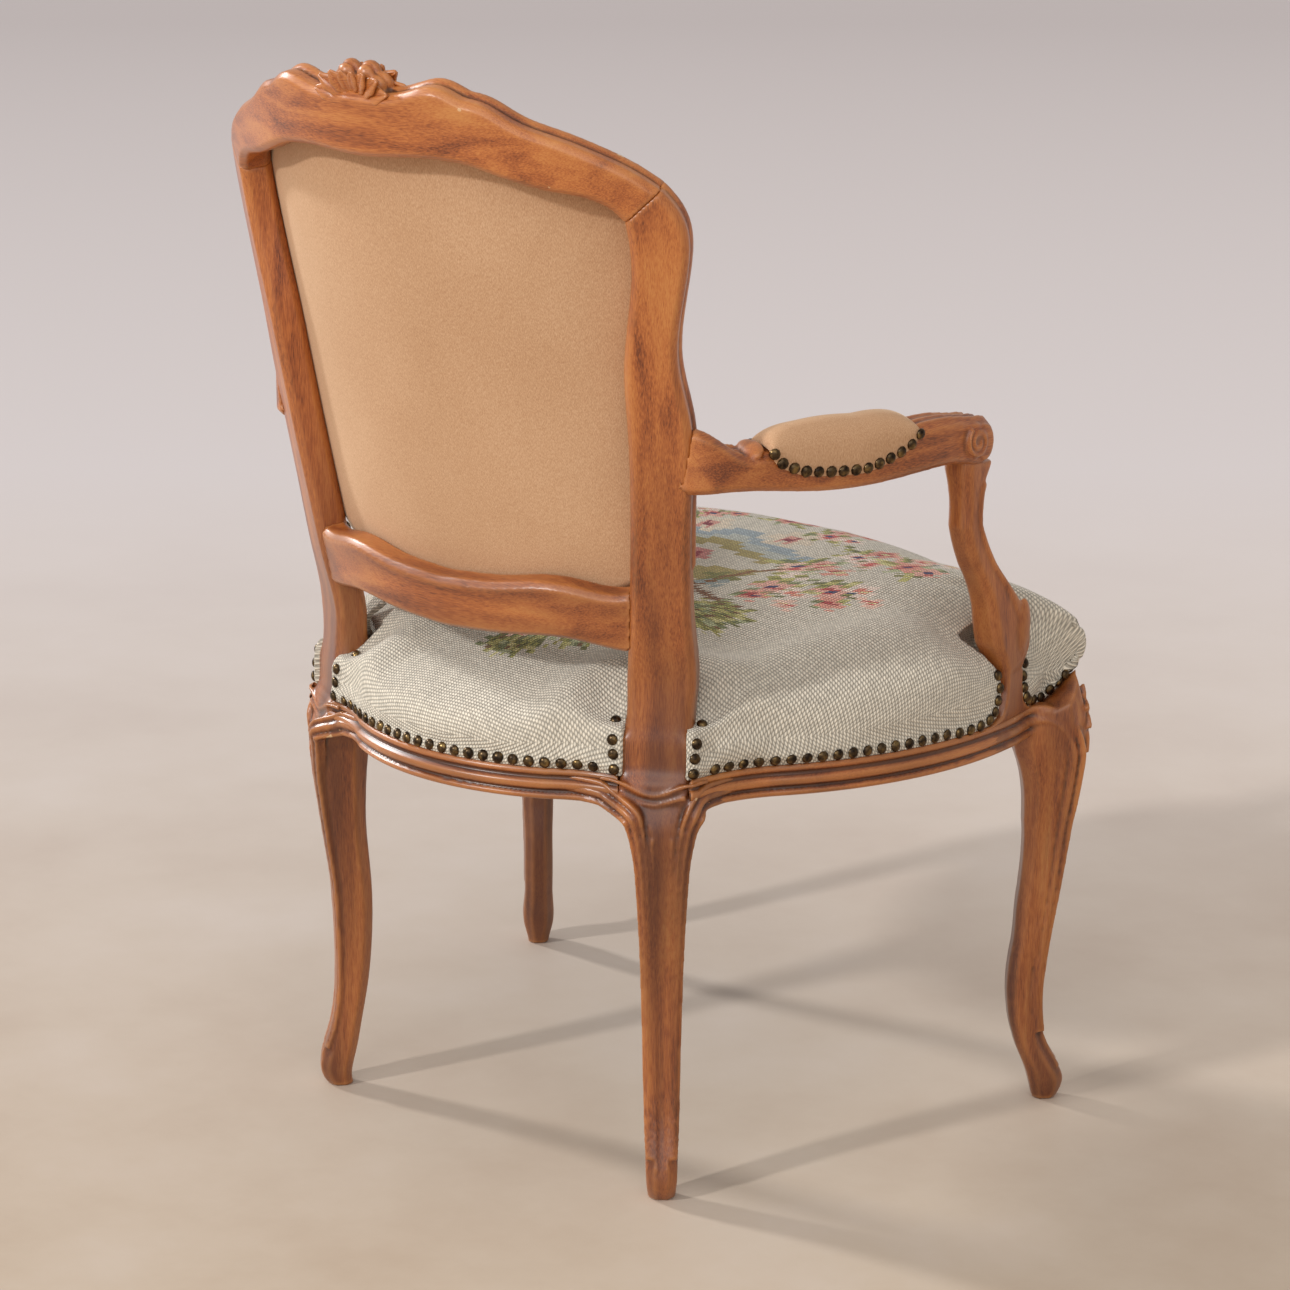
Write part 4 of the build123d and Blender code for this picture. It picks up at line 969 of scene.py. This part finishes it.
sprays = ((104, -122, 0.3, 0), (118, -72, -0.5, 1), (132, -176, 0.6, 2), (186, -178, 1.1, 3),
          (168, -92, 0.2, 1), (70, -216, 1.2, 0), (92, 62, -1.0, 2))
for sign in (-1, 1):
    drift(sign * 38, -150, 62, 26, 0.35 * sign, "#a7b3b8", "#c4c7bd", "#b5a468")
    drift(sign * 20, -60, 70, 30, -0.25 * sign, "#b9a76a", "#8f8d50", "#a9b2ae")
    stem(sign * 20, -70, sign * 120, -20, 12 * sign, 3.2, "#8c6140")
    stem(sign * 60, -45, sign * 105, -115, -10 * sign, 2.6, "#96693f")
    shrub(sign * 112, 8, 36, 1 + sign)
    shrub(sign * 48, 84, 34, 3 + sign)
    for x, y, heading, turn in sprays:
        spray(sign * x, y, pi / 2 - sign * (pi / 2 + heading), turn + (sign > 0))
    blossom(sign * 48, -186, 27, 6, ("#ead9c0", "#dd9d8d"), "#8f2c3c", sign)
shrub(0, 128, 30, 2)
spray(0, -244, -pi / 2, 3)
spray(0, 70, pi / 2, 1)
for x, y, reach, outer, inner, heart in (
        (-26, -28, 30, "#e8d8c0", "#d9968b", "#a33643"), (32, -22, 27, "#9fb0bb", "#ccd1ca", "#5c708b"),
        (4, 22, 25, "#d99590", "#b4464f", "#e8d8a0"), (2, -104, 26, "#d98f86", "#a63a46", "#3a4168")):
    blossom(x, y, reach, 6, (outer, inner), heart, x)


def embroidered(obj, middle, sense=1.0):
    """Gives every face the colour of the stitch that it lies in."""
    uv = np.empty(len(obj.data.loops) * 2, np.float32)
    obj.data.uv_layers["cloth"].data.foreach_get("uv", uv)
    starts = np.empty(len(obj.data.polygons), np.int32)
    obj.data.polygons.foreach_get("loop_start", starts)
    totals = np.diff(np.append(starts, len(obj.data.loops)))
    centre = np.add.reduceat(uv.reshape(-1, 2) / MM, starts, axis=0) / totals[:, None] - middle
    cell = np.clip(((centre * [sense, 1.0] + cloth_reach) / stitch).astype(int), 0, canvas_side - 1)
    layer = obj.data.attributes.new("design", "FLOAT_COLOR", "FACE")
    layer.data.foreach_set("color", canvas[cell[:, 0], cell[:, 1]].astype(np.float32).ravel())


# Wool needlepoint on canvas: slanted stitches of 3.2 mm, coarser than real ones so that they show, each a
# little different, with painted shade in the gaps between them and a painted highlight along each stitch's
# middle, and soiling in clouds of 140 mm
needlepoint, shader = material("wool_needlepoint")
cloth_map = node(needlepoint, "UVMap", uv_map="cloth")
cells = node(needlepoint, "VectorMath", {0: cloth_map, "Scale": 1 / (stitch * MM)}, operation="SCALE")
whole = node(needlepoint, "VectorMath", {0: cells}, operation="FLOOR")
part = node(needlepoint, "VectorMath", {0: cells}, operation="FRACTION")
part = node(needlepoint, "VectorMath", {0: part, 1: (0.5, 0.5, 0.0)}, operation="SUBTRACT")
part = node(needlepoint, "VectorRotate", {"Vector": part, "Angle": 0.6}, rotation_type="Z_AXIS")
part = node(needlepoint, "VectorMath", {0: part, 1: (1.45, 2.1, 0.0)}, operation="MULTIPLY")
away = node(needlepoint, "VectorMath", {0: part}, out="Value", operation="LENGTH")
thread = node(needlepoint, "MapRange", {0: away, 1: 0.35, 2: 1.05, 3: 1.0, 4: 0.0})
odd = node(needlepoint, "TexWhiteNoise", {"Vector": whole}, out="Value", noise_dimensions="2D")
place = node(needlepoint, "TexCoord", out="Object")
soil = node(needlepoint, "TexNoise", {"Vector": place, "Scale": 7.0, "Detail": 3.0})
soil = node(needlepoint, "MapRange", {0: soil, 1: 0.3, 2: 0.7, 3: 0.93, 4: 1.04})
# Painted shade in the gaps between stitches, and a painted highlight along each stitch's middle
gap = node(needlepoint, "MapRange", {0: thread, 3: 0.46, 4: 1.08})
# Each stitch's own tone, times the painted shade and highlight, times the soiling
tone_soil_and_painted_shade = node(needlepoint, "MapRange", {0: odd, 3: 0.88, 4: 1.12})
for dimming in (gap, soil):
    tone_soil_and_painted_shade = node(needlepoint, "Math", {0: tone_soil_and_painted_shade, 1: dimming}, operation="MULTIPLY")
design = node(needlepoint, "Attribute", out="Color", attribute_name="design")
fill(needlepoint, shader, {
    "Base Color": node(needlepoint, "VectorMath", {0: design, "Scale": tone_soil_and_painted_shade}, operation="SCALE"),
    "Roughness": 0.9, "Sheen Weight": 0.15,
    "Normal": node(needlepoint, "Bump", {"Height": thread, "Strength": 0.8, "Distance": 0.0011})})

# Cotton velvet: a short upright pile, drawn 0.5 x 2.4 mm so that it shows, and faint clouds of 125 mm
velvet, shader = material("beige_velvet")
place = node(velvet, "TexCoord", out="Object")
nap = node(velvet, "Mapping", {"Vector": place, "Scale": (1900, 1900, 420)})
pile = node(velvet, "TexNoise", {"Vector": nap, "Scale": 1.0, "Detail": 2.0})
cloud = node(velvet, "TexNoise", {"Vector": place, "Scale": 8.0, "Detail": 3.0})
cloud = node(velvet, "Math", {0: cloud, 1: 0.2}, operation="MULTIPLY")
tone = node(velvet, "Math", {0: pile, 1: 0.8, 2: cloud}, operation="MULTIPLY_ADD")
fill(velvet, shader, {
    "Base Color": node(velvet, "ValToRGB", {0: tone}, stops=[
        (0.30, "#ae815c"), (0.5, "#c29872"), (0.70, "#d3ad8a")]),
    "Roughness": 0.85, "Sheen Weight": 0.55, "Sheen Roughness": 0.4, "Sheen Tint": linear("#f0dcc0"),
    "Normal": node(velvet, "Bump", {"Height": pile, "Strength": 0.25, "Distance": 0.0004})})


def draw_in(obj):
    """Draws the cover in behind the posts, the supports' feet and the knees."""
    p = points(obj)
    z, side = p[:, 2], to_left(p)
    flat = p[:, :2] * side
    out, _ = seat_reach(p)
    support = np.minimum(np.interp(z, *zip(*foot_rear)) - flat[:, 1],
                         flat[:, 1] - np.interp(z, *zip(*foot_front)))
    support = np.where((flat[:, 0] > 200) & (out > -36), support, -99)
    post = np.where((flat[:, 1] > 0) & (out > -60), 24.0 - np.abs((flat - post_mark) @ post_side), -99)
    corner = np.interp(z, *zip(*knee_half)) - np.linalg.norm(flat - knee, axis=1)
    for inside, deep, way in ((support, np.interp(z, [405, 425], [14.0, 46.0]), np.array([1.0, 0.0])),
                              (post, 48.0, post_out), (corner, 15.0, knee_out)):
        t = np.clip((inside + 3) / 5, 0, 1)
        flat = flat - way * (t * t * (3 - 2 * t) * np.clip(deep + out, 0, None))[:, None]
    p[:, :2] = flat * side
    set_points(obj, p)


def creased(obj):
    """Folds in the cover that run inward from both sides of each post."""
    p = points(obj)
    place = p[:, :2] * to_left(p) - post_mark
    place = np.stack([place @ post_side, -place @ post_out], -1)
    for start, end in (((34.0, 3.0), (78.0, 82.0)), ((-34.0, 3.0), (-62.0, 66.0))):
        start, run = np.array(start), np.array(end) - start
        t = np.clip((place - start) @ run / (run @ run), 0, 1)
        far = np.linalg.norm(place - start - t[:, None] * run, axis=1)
        share = 0.62 * (1 - t) ** 1.2 * np.exp(-((far / (10 + 12 * t)) ** 2))
        p[:, 2] -= share * np.clip(p[:, 2] - rail_top - 6, 0, None)
    set_points(obj, p)


# Seat: the cover is drawn down to the rails, and in round the posts and arm supports
seat_form = [(0, 0, 3.4), (15, 0.01, 8.5), (33, 0.03, 9.0), (53, 0.06, 2.5), (66, 0.09, -15),
             (75, 0.11, -48), (83, 0.115, -100), (86, 0.115, -160)]
around = even(plan, 8.0, closed=True)
levels = smooth_rows(seat_form, np.array([0, 0.35, 0.7, 1.1, 1.5, 1.9, 2.3, 2.7, 3.1, 3.5, 3.9, 4.3, 4.7, 5.1,
                                          5.5, 5.9, 6.4, 7.0]))
direction = around / np.linalg.norm(around, axis=1, keepdims=True)
plain = []
for rise, tilt, out in levels:
    ring = around + direction * out
    for _ in range(int(max(0, 3 - out) * 0.5)):
        ring = eased(ring)
    plain.append(np.concatenate([ring, (moulding_top + rise - tilt * ring[:, 1])[:, None]], 1))
inner = plain[-1]
for share in (0.78, 0.56, 0.36, 0.2, 0.09, 0.01):
    ring = inner * [share, share, 1]
    ring[:, 2] = moulding_top + 86 + 3.0 * (1 - share**2) - 0.115 * ring[:, 1]
    plain.append(ring)


def above_edge(ring):
    """How far points have risen past the nailed edge, from 0 to 1."""
    return np.clip((ring[:, 2] - moulding_top - 12) / 30, 0, 1)


# The cover swells at the front corners, round the posts and along the sides, and sinks beside the posts
# and the arm supports
dimples = [(post_mark + post_side * aside - post_out * 4, 30.0, 10.0) for aside in (36, -36)]
dimples += [(np.array([290.0, -128.0]), 34.0, 15.0), (np.array([296.0, -190.0]), 26.0, 10.0)]
t = np.linspace(0, 1, 60)[:, None]
roll = (1 - t) ** 2 * [206.0, 122.0] + 2 * t * (1 - t) * [226.0, -6.0] + t**2 * [276.0, -112.0]
rings = [ring.copy() for ring in plain]
for ring in rings:
    corner = np.exp(-((np.linalg.norm(ring[:, :2] * to_left(ring) - knee, axis=1) / 48) ** 2))
    rise = ring[:, 2] - moulding_top
    swell = (13 * np.clip((rise - 22) / 28, 0, 1) - 6) * np.clip(rise / 12, 0, 1)
    ring[:, :2] += direction * (swell * corner)[:, None]
    for mark, wide, deep in dimples:
        for sign in (1, -1):
            far = np.linalg.norm(ring[:, :2] - mark * [sign, 1], axis=1)
            sunk = ring[:, 2] - deep * np.exp(-((far / wide) ** 2)) * above_edge(ring)
            ring[:, 2] = np.maximum(sunk, np.minimum(ring[:, 2], rail_top + 7))
    for sign in (1, -1):
        far = np.linalg.norm(ring[:, :2] - post_mark * [sign, 1], axis=1)
        ring[:, 2] += 13.0 * np.exp(-(((far - 78) / 28) ** 2)) * above_edge(ring)
    flat = ring[:, :2] * to_left(ring)
    gap = np.linalg.norm(flat[:, None] - roll[None], axis=2)
    near, far = gap.argmin(1), gap.min(1)
    outside = np.linalg.norm(flat, axis=1) > np.linalg.norm(roll[near], axis=1)
    crest = 9 * np.exp(-((far / np.where(outside, 46, 26)) ** 2))
    hollow = np.where(outside, 0, 4) * np.exp(-(((far - 52) / 26) ** 2))
    ring[:, 2] += (crest - hollow) * np.sin(pi * t[near, 0]) ** 0.6 * above_edge(ring)
seat = lofted("seat", rings, caps=False)
give_map(seat, unrolled(plain, lambda r: r[:, :2]))
stuffed(seat, len(around) * 2, 5.0)
crowned(seat, soft_levels, points(seat)[-len(around):].mean(0))
embroidered(seat, np.array([0.0, 0.0]))
creased(seat)
draw_in(seat)
modified(seat, "SOLIDIFY", thickness=2.4 * MM, offset=-1)
finished(seat, "seat_cushion", "needlepoint", "seat_cover", "seat_stuffing", skin_material=needlepoint)

# Inside back: a flatter pad of the same needlework
back_line = np.array([(0, 6), (62, 6), (118, 6), (160, 8), (191, 22), (199, 100), (208, 180), (216, 260),
                      (224, 330), (182, 362), (134, 380), (70, 394), (0, 394)], float)
back_line = np.concatenate([back_line, (back_line * [-1, 1])[-2:0:-1]])
back_middle = np.array([0.0, 200.0])
edge = even(back_line, 11.0, closed=True)
for _ in range(3):
    edge = eased(edge)


def back_rings(line, steps):
    """Rings over the back, from (share of the outline, depth before the rear face)."""
    rings = []
    for share, depth in steps:
        flat = back_middle + (line - back_middle) * share
        rings.append(on_back(flat[:, 0], depth, flat[:, 1]))
    return rings


def flat_on_back(ring):
    """Places across the back's rear face and up its lean."""
    x, _, up = off_back(ring)
    return np.stack([x, up], -1)


pad_steps = [(1.012, 29.2), (1.016, 34.0), (1.008, 39.0), (0.985, 43.5), (0.95, 47.5), (0.90, 51.5),
             (0.84, 55.0), (0.76, 58.0), (0.66, 60.5), (0.54, 62.3), (0.40, 63.6), (0.26, 64.3),
             (0.12, 64.7), (0.05, 64.8), (0.006, 64.8)]
rings = back_rings(edge, pad_steps)
inside_back = lofted("inside_back", rings, caps=False)
give_map(inside_back, unrolled(rings, flat_on_back))
stuffed(inside_back, len(edge) * 2, 4.0)
crowned(inside_back, soft_levels, points(inside_back)[-len(edge):].mean(0))
embroidered(inside_back, back_middle + np.array([0.0, 20.0]), -1.0)
modified(inside_back, "SOLIDIFY", thickness=2.2 * MM, offset=-1)
finished(inside_back, "inside_back_pad", "needlepoint", "inside_back_cover", "back_stuffing",
         skin_material=needlepoint)

# Outside back: velvet stretched over the opening, filled a little from within
edge = back_middle + (even(back_line, 9.0, closed=True) - back_middle) * 0.978
velvet_steps = [(1.03, 28.4), (0.97, 28.3), (0.93, 27.8), (0.87, 26.4), (0.78, 24.8), (0.66, 23.2),
                (0.5, 21.8), (0.32, 21.0), (0.15, 20.6), (0.05, 20.5), (0.006, 20.5)]
rings = back_rings(edge, velvet_steps)
outside_back = lofted("outside_back", rings, caps=False)
crowned(outside_back, 1, rings[-1].mean(0))
modified(outside_back, "SOLIDIFY", thickness=1.2 * MM, offset=-1)
finished(outside_back, "outside_back_velvet", "velvet", "outside_back_cover", skin_material=velvet)

# Arm pads: the cover comes down over both cheeks of the arm to a curved row of nails
pad_start, pad_end, pad_drop, pad_rise = 0.296, 0.628, 20.5, 26.0


def pad_ring(q):
    """One inverted-U section of a pad, q from -1 at its rear to 1 at its front."""
    share = pad_start + (pad_end - pad_start) * (q + 1) / 2
    middle, low, high, wide, ahead = arm_at(share)
    across = np.array([-ahead[1], ahead[0]])
    full = np.sqrt(max(0.0, 1 - q * q))
    drop = min(pad_drop * full ** 0.6, high - low - 11) + 1.0
    rise = 2.5 + (pad_rise - 2.5) * full ** 0.9
    cheek = [(-1, -drop, 1.6), (-1, -drop * 0.6, 3.0), (-1, -drop * 0.2, 3.6), (-0.97, rise * 0.22, 3.4),
             (-0.88, rise * 0.5, 2.6), (-0.7, rise * 0.76, 1.4), (-0.42, rise * 0.94, 0)]
    outer = cheek + [(0, rise, 0)] + [(-s, z, -extra) for s, z, extra in cheek[::-1]]
    ring = [[*(middle + across * (s * wide - extra)), high + z] for s, z, extra in outer]
    inner = ((1, -drop), (1, 0.6), (-1, 0.6), (-1, -drop))
    ring += [[*(middle + across * (s * (wide + 0.5))), high + z] for s, z in inner]
    return np.array(ring)


pad_left = lofted("pad", [pad_ring(q) for q in np.sin(np.linspace(-0.5 * pi, 0.5 * pi, 27))])
modified(pad_left, "SUBSURF", levels=2, render_levels=2)
pad_right = mirror_copy(pad_left)
for side_name, pad in (("left", pad_left), ("right", pad_right)):
    finished(pad, f"arm_pad_{side_name}", "velvet", f"arm_pad_cover_{side_name}",
             f"arm_pad_stuffing_{side_name}", skin_material=velvet)

# Cloth under the seat, drawn in round the legs
line = even(plan, 14.0, closed=True)
outward = line / np.linalg.norm(line, axis=1, keepdims=True)
draw = np.full(len(line), 10.0)
for mark in (post_mark, front_foot):
    for sign in (1, -1):
        far = np.linalg.norm(line - mark * [sign, 1], axis=1)
        draw += 44 * np.exp(-((far / 46) ** 2))
line = line - outward * draw[:, None]
shares = (1.0, 0.96, 0.85, 0.7, 0.5, 0.3, 0.1, 0.004)
rings = [np.concatenate([line * s, np.full((len(line), 1), 344.6 - 3.0 * (1 - s * s))], 1) for s in shares]
under = lofted("under", rings, caps=False)
give_map(under, unrolled(rings, lambda r: r[:, :2]))
crowned(under, 1, rings[-1].mean(0))
modified(under, "SOLIDIFY", thickness=0.8 * MM, offset=-1)

# Black-brown cotton dust cloth: a plain open weave, with threads 1.7 mm apart
dust_cloth, shader = material("cotton_dust_cloth")
cloth_map = node(dust_cloth, "UVMap", uv_map="cloth")
weave = node(dust_cloth, "TexWave", {"Vector": cloth_map, "Scale": 180.0, "Distortion": 0.6})
weave = node(dust_cloth, "ValToRGB", {0: weave}, stops=[(0.2, "#1e1a16"), (0.8, "#3c342b")])
fill(dust_cloth, shader, {"Base Color": weave, "Roughness": 0.95})
finished(under, "bottom_dust_cloth", "bottom_cloth", "bottom_cloth", skin_material=dust_cloth)

# Nails: one domed head, copied along each row
bpy.ops.object.select_all(action="DESELECT")
bpy.ops.mesh.primitive_uv_sphere_add(segments=10, ring_count=8, radius=1)
head = bpy.context.object
edited(head, bpy.ops.mesh.bisect, plane_co=(0, 0, 0.001), plane_no=(0, 0, 1), clear_inner=True, use_fill=True)
head_points = np.array([v.co[:] for v in head.data.vertices]) * [nail_radius, nail_radius, nail_height * 1.15]
head_faces = [tuple(f.vertices) for f in head.data.polygons]
bpy.data.objects.remove(head)


def nail_row(name, places, outs, *replaced):
    """Heads at places on a surface, looking out, each a little askew."""
    verts, faces = [], []
    for place, out in zip(places, outs):
        out = np.asarray(out, float) + chance.normal(0, 0.05, 3)
        out /= np.linalg.norm(out)
        u = np.cross(out, [0.3, 0.2, 0.93])
        u /= np.linalg.norm(u)
        w = np.cross(out, u)
        size = 1 + chance.normal(0, 0.025)
        start = len(verts) * len(head_points)
        verts.append(np.asarray(place) + (head_points * size) @ np.stack([u, w, out]))
        faces += [tuple(start + i for i in f) for f in head_faces]
    nails = mesh_from(name, np.concatenate(verts), faces)
    finished(nails, name, "nail_bronze", *replaced, skin_material=brass)


# Antiqued brass: browned in patches of 6 mm, rubbed bright elsewhere
brass, shader = material("antiqued_brass")
place = node(brass, "TexCoord", out="Object")
patch = node(brass, "TexNoise", {"Vector": place, "Scale": 160.0, "Detail": 3.0})
fill(brass, shader, {
    "Base Color": node(brass, "ValToRGB", {0: patch}, stops=[
        (0.35, "#2e2620"), (0.52, "#574733"), (0.68, "#8a7148")]),
    "Metallic": 1.0, "Roughness": node(brass, "MapRange", {0: patch, 3: 0.42, 4: 0.24})})


def set_on(obj, places, inward):
    """Places and outward directions where lines from outside meet a soft piece."""
    tree = surface(obj)
    spots, outs = [], []
    for p, way in zip(places, inward):
        way = np.asarray(way, float) / np.linalg.norm(way)
        where, out, _, _ = tree.ray_cast(Vector(p - way * 20), Vector(way), 62.0)
        if where is None:
            continue
        out = np.array(out) * (1 if np.dot(out, way) < 0 else -1) - 0.6 * way
        spots.append(np.array(where) - way * 0.2)
        outs.append(out)
    return spots, outs


row = []
for p in even(half, nail_pitch):
    at_post = abs((p - post_mark) @ post_side) < 40 and p[1] > 0
    at_support = -212 < p[1] < -78 and p[0] > 200
    if not (at_post or at_support or np.linalg.norm(p - knee) < 40):
        row.append([*(p * (1 + 16 / np.linalg.norm(p))), moulding_top + 5.5, *-p, 0])
for sign in (-1, 1):
    for k, z in enumerate((376.5, 389.0, 401.0, 412.5, 423.5, 434.0, 443.0)):
        row.append([*(post_mark + post_side * (sign * (33.0 + 0.9 * k)) + post_out * 16), z, *-post_out, 0])
for y, z in ((-84, 375), (-98, 375), (-111, 375.5), (-124, 378), (-132, 383), (-136.5, 392), (-139, 402.5),
             (-138.5, 413.5), (-184, 414), (-179, 404), (-179, 394), (-182, 385), (-189.5, 379.5),
             (-201, 377)):
    row.append([334.0, y, z, -1, 0, 0])
for y, z in ((-213, 376.5), (-222, 382), (-228.5, 388.5), (-235, 394), (-242, 398)):
    row.append([334.0, y, z, -1, 0, 0])
    away = np.array([334.0, y]) - knee
    row.append([*(knee + 2 * (away @ knee_out) * knee_out - away), z, 0, 1, 0])
row = np.array(row)
row = np.concatenate([row, (row * [-1, 1, 1, -1, 1, 1])[row[:, 0] > 1]])
nail_row("seat_nail_heads", *set_on(seat, row[:, :3], row[:, 3:]), "seat_nails")

rim = even(back_middle + (back_line - back_middle) * 1.055, nail_pitch, closed=True)
rim_places = on_back(rim[:, 0], 28.6, rim[:, 1])
nail_row("back_nail_heads", rim_places, on_back(rim[:, 0], 29.6, rim[:, 1]) - rim_places, "back_nails")

pad_rings = np.array([pad_ring(q) for q in np.linspace(-0.99, 0.99, 90)])
for sign, pad, side_name in ((1, pad_left, "left"), (-1, pad_right, "right")):
    rows = []
    for cheek in (0, 14):
        across = pad_rings[:, 14 - cheek] - pad_rings[:, cheek]
        rows.append(even(np.concatenate([pad_rings[:, cheek] + [0, 0, 4.6], across], 1), 12.0))
    rows = np.concatenate(rows) * [sign, 1, 1, sign, 1, 0]
    spots, outs = set_on(pad, rows[:, :3], rows[:, 3:])
    nail_row(f"arm_pad_nail_heads_{side_name}", spots, outs, f"arm_pad_nails_{side_name}")

# Hidden pieces keep their solids. Raw beech: flecks of 4 mm. Woven jute: yarns of 1.6 mm. Plain steel: a
# dull haze of 3 mm
raw_beech, shader = material("raw_beech")
place = node(raw_beech, "TexCoord", out="Object")
fleck = node(raw_beech, "TexNoise", {"Vector": place, "Scale": 260.0, "Detail": 3.0})
fleck = node(raw_beech, "ValToRGB", {0: fleck}, stops=[(0.35, "#a9825a"), (0.65, "#c7a47b")])
fill(raw_beech, shader, {"Base Color": fleck, "Roughness": 0.7})
jute, shader = material("woven_jute")
place = node(jute, "TexCoord", out="Object")
yarn = node(jute, "TexChecker", {"Vector": place, "Scale": 640.0}, out=1)
yarn = node(jute, "ValToRGB", {0: yarn}, stops=[(0.3, "#7d6038"), (0.7, "#a5865a")])
fill(jute, shader, {"Base Color": yarn, "Roughness": 0.95})
steel, shader = material("plain_steel")
place = node(steel, "TexCoord", out="Object")
haze = node(steel, "TexNoise", {"Vector": place, "Scale": 300.0})
haze = node(steel, "MapRange", {0: haze, 3: 0.3, 4: 0.5})
fill(steel, shader, {"Base Color": linear("#8d8f92"), "Metallic": 1.0, "Roughness": haze})
hidden = {raw_beech: ("dowels", "corner_block"), jute: ("webbing", "hessian"), steel: ("screws",)}
for finish, words in hidden.items():
    for name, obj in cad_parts.items():
        if any(word in name for word in words) and not (finish is raw_beech and "screws" in name):
            obj.data.materials.clear()
            obj.data.materials.append(finish)

# Floor and light. Floor paint: faint clouds of 380 mm, turning grey towards the chair's front left
bpy.ops.object.select_all(action="DESELECT")
bpy.ops.mesh.primitive_plane_add(size=60)
floor = bpy.context.object
floor.name = "floor"
floor_paint, shader = material("floor_paint")
place = node(floor_paint, "TexCoord", out="Object")
cloud = node(floor_paint, "TexNoise", {"Vector": place, "Scale": 2.6, "Detail": 9.0, "Roughness": 0.62})
paint = node(floor_paint, "ValToRGB", {0: cloud}, stops=[
    (0.32, "#bca790"), (0.52, "#c7b5a0"), (0.7, "#cebead")])
away = node(floor_paint, "VectorMath", {0: place, 1: (0.656, -0.755, 0.0)}, out="Value",
            operation="DOT_PRODUCT")
for near, far, hexcode in ((-0.5, 2.5, "#d2cac9"), (2.0, 9.0, "#b4abaa")):
    share = node(floor_paint, "MapRange", {0: away, 1: near, 2: far})
    paint = node(floor_paint, "Mix", {0: share, 6: paint, 7: linear(hexcode)}, out=2, data_type="RGBA")
fill(floor_paint, shader, {"Base Color": paint, "Roughness": 0.55})
floor.data.materials.append(floor_paint)
floor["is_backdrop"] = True

world = bpy.data.worlds.new("studio")
bpy.context.scene.world = world
world.use_nodes = True
world.node_tree.nodes["Background"].inputs[0].default_value = linear("#ece7e4")
world.node_tree.nodes["Background"].inputs[1].default_value = 0.58


def lamp(name, toward, height, strength, softness):
    """A broad far lamp, from a plan direction and a height angle."""
    obj = linked(name, bpy.data.lights.new(name, "SUN"))
    obj.data.energy = strength
    obj.data.angle = radians(softness)
    flat = cos(radians(height))
    place = Vector((toward[0] * flat, toward[1] * flat, sin(radians(height))))
    obj.rotation_euler = (-place).to_track_quat("-Z", "Y").to_euler()


lamp("key", (0.29, 0.957), 29.0, 1.4, 4.0)
lamp("second", (0.992, 0.12), 27.0, 1.6, 6.0)
lamp("fill", (-0.6, 0.8), 34.0, 0.9, 60.0)
bpy.context.scene.view_settings.view_transform = "Standard"

low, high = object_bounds()
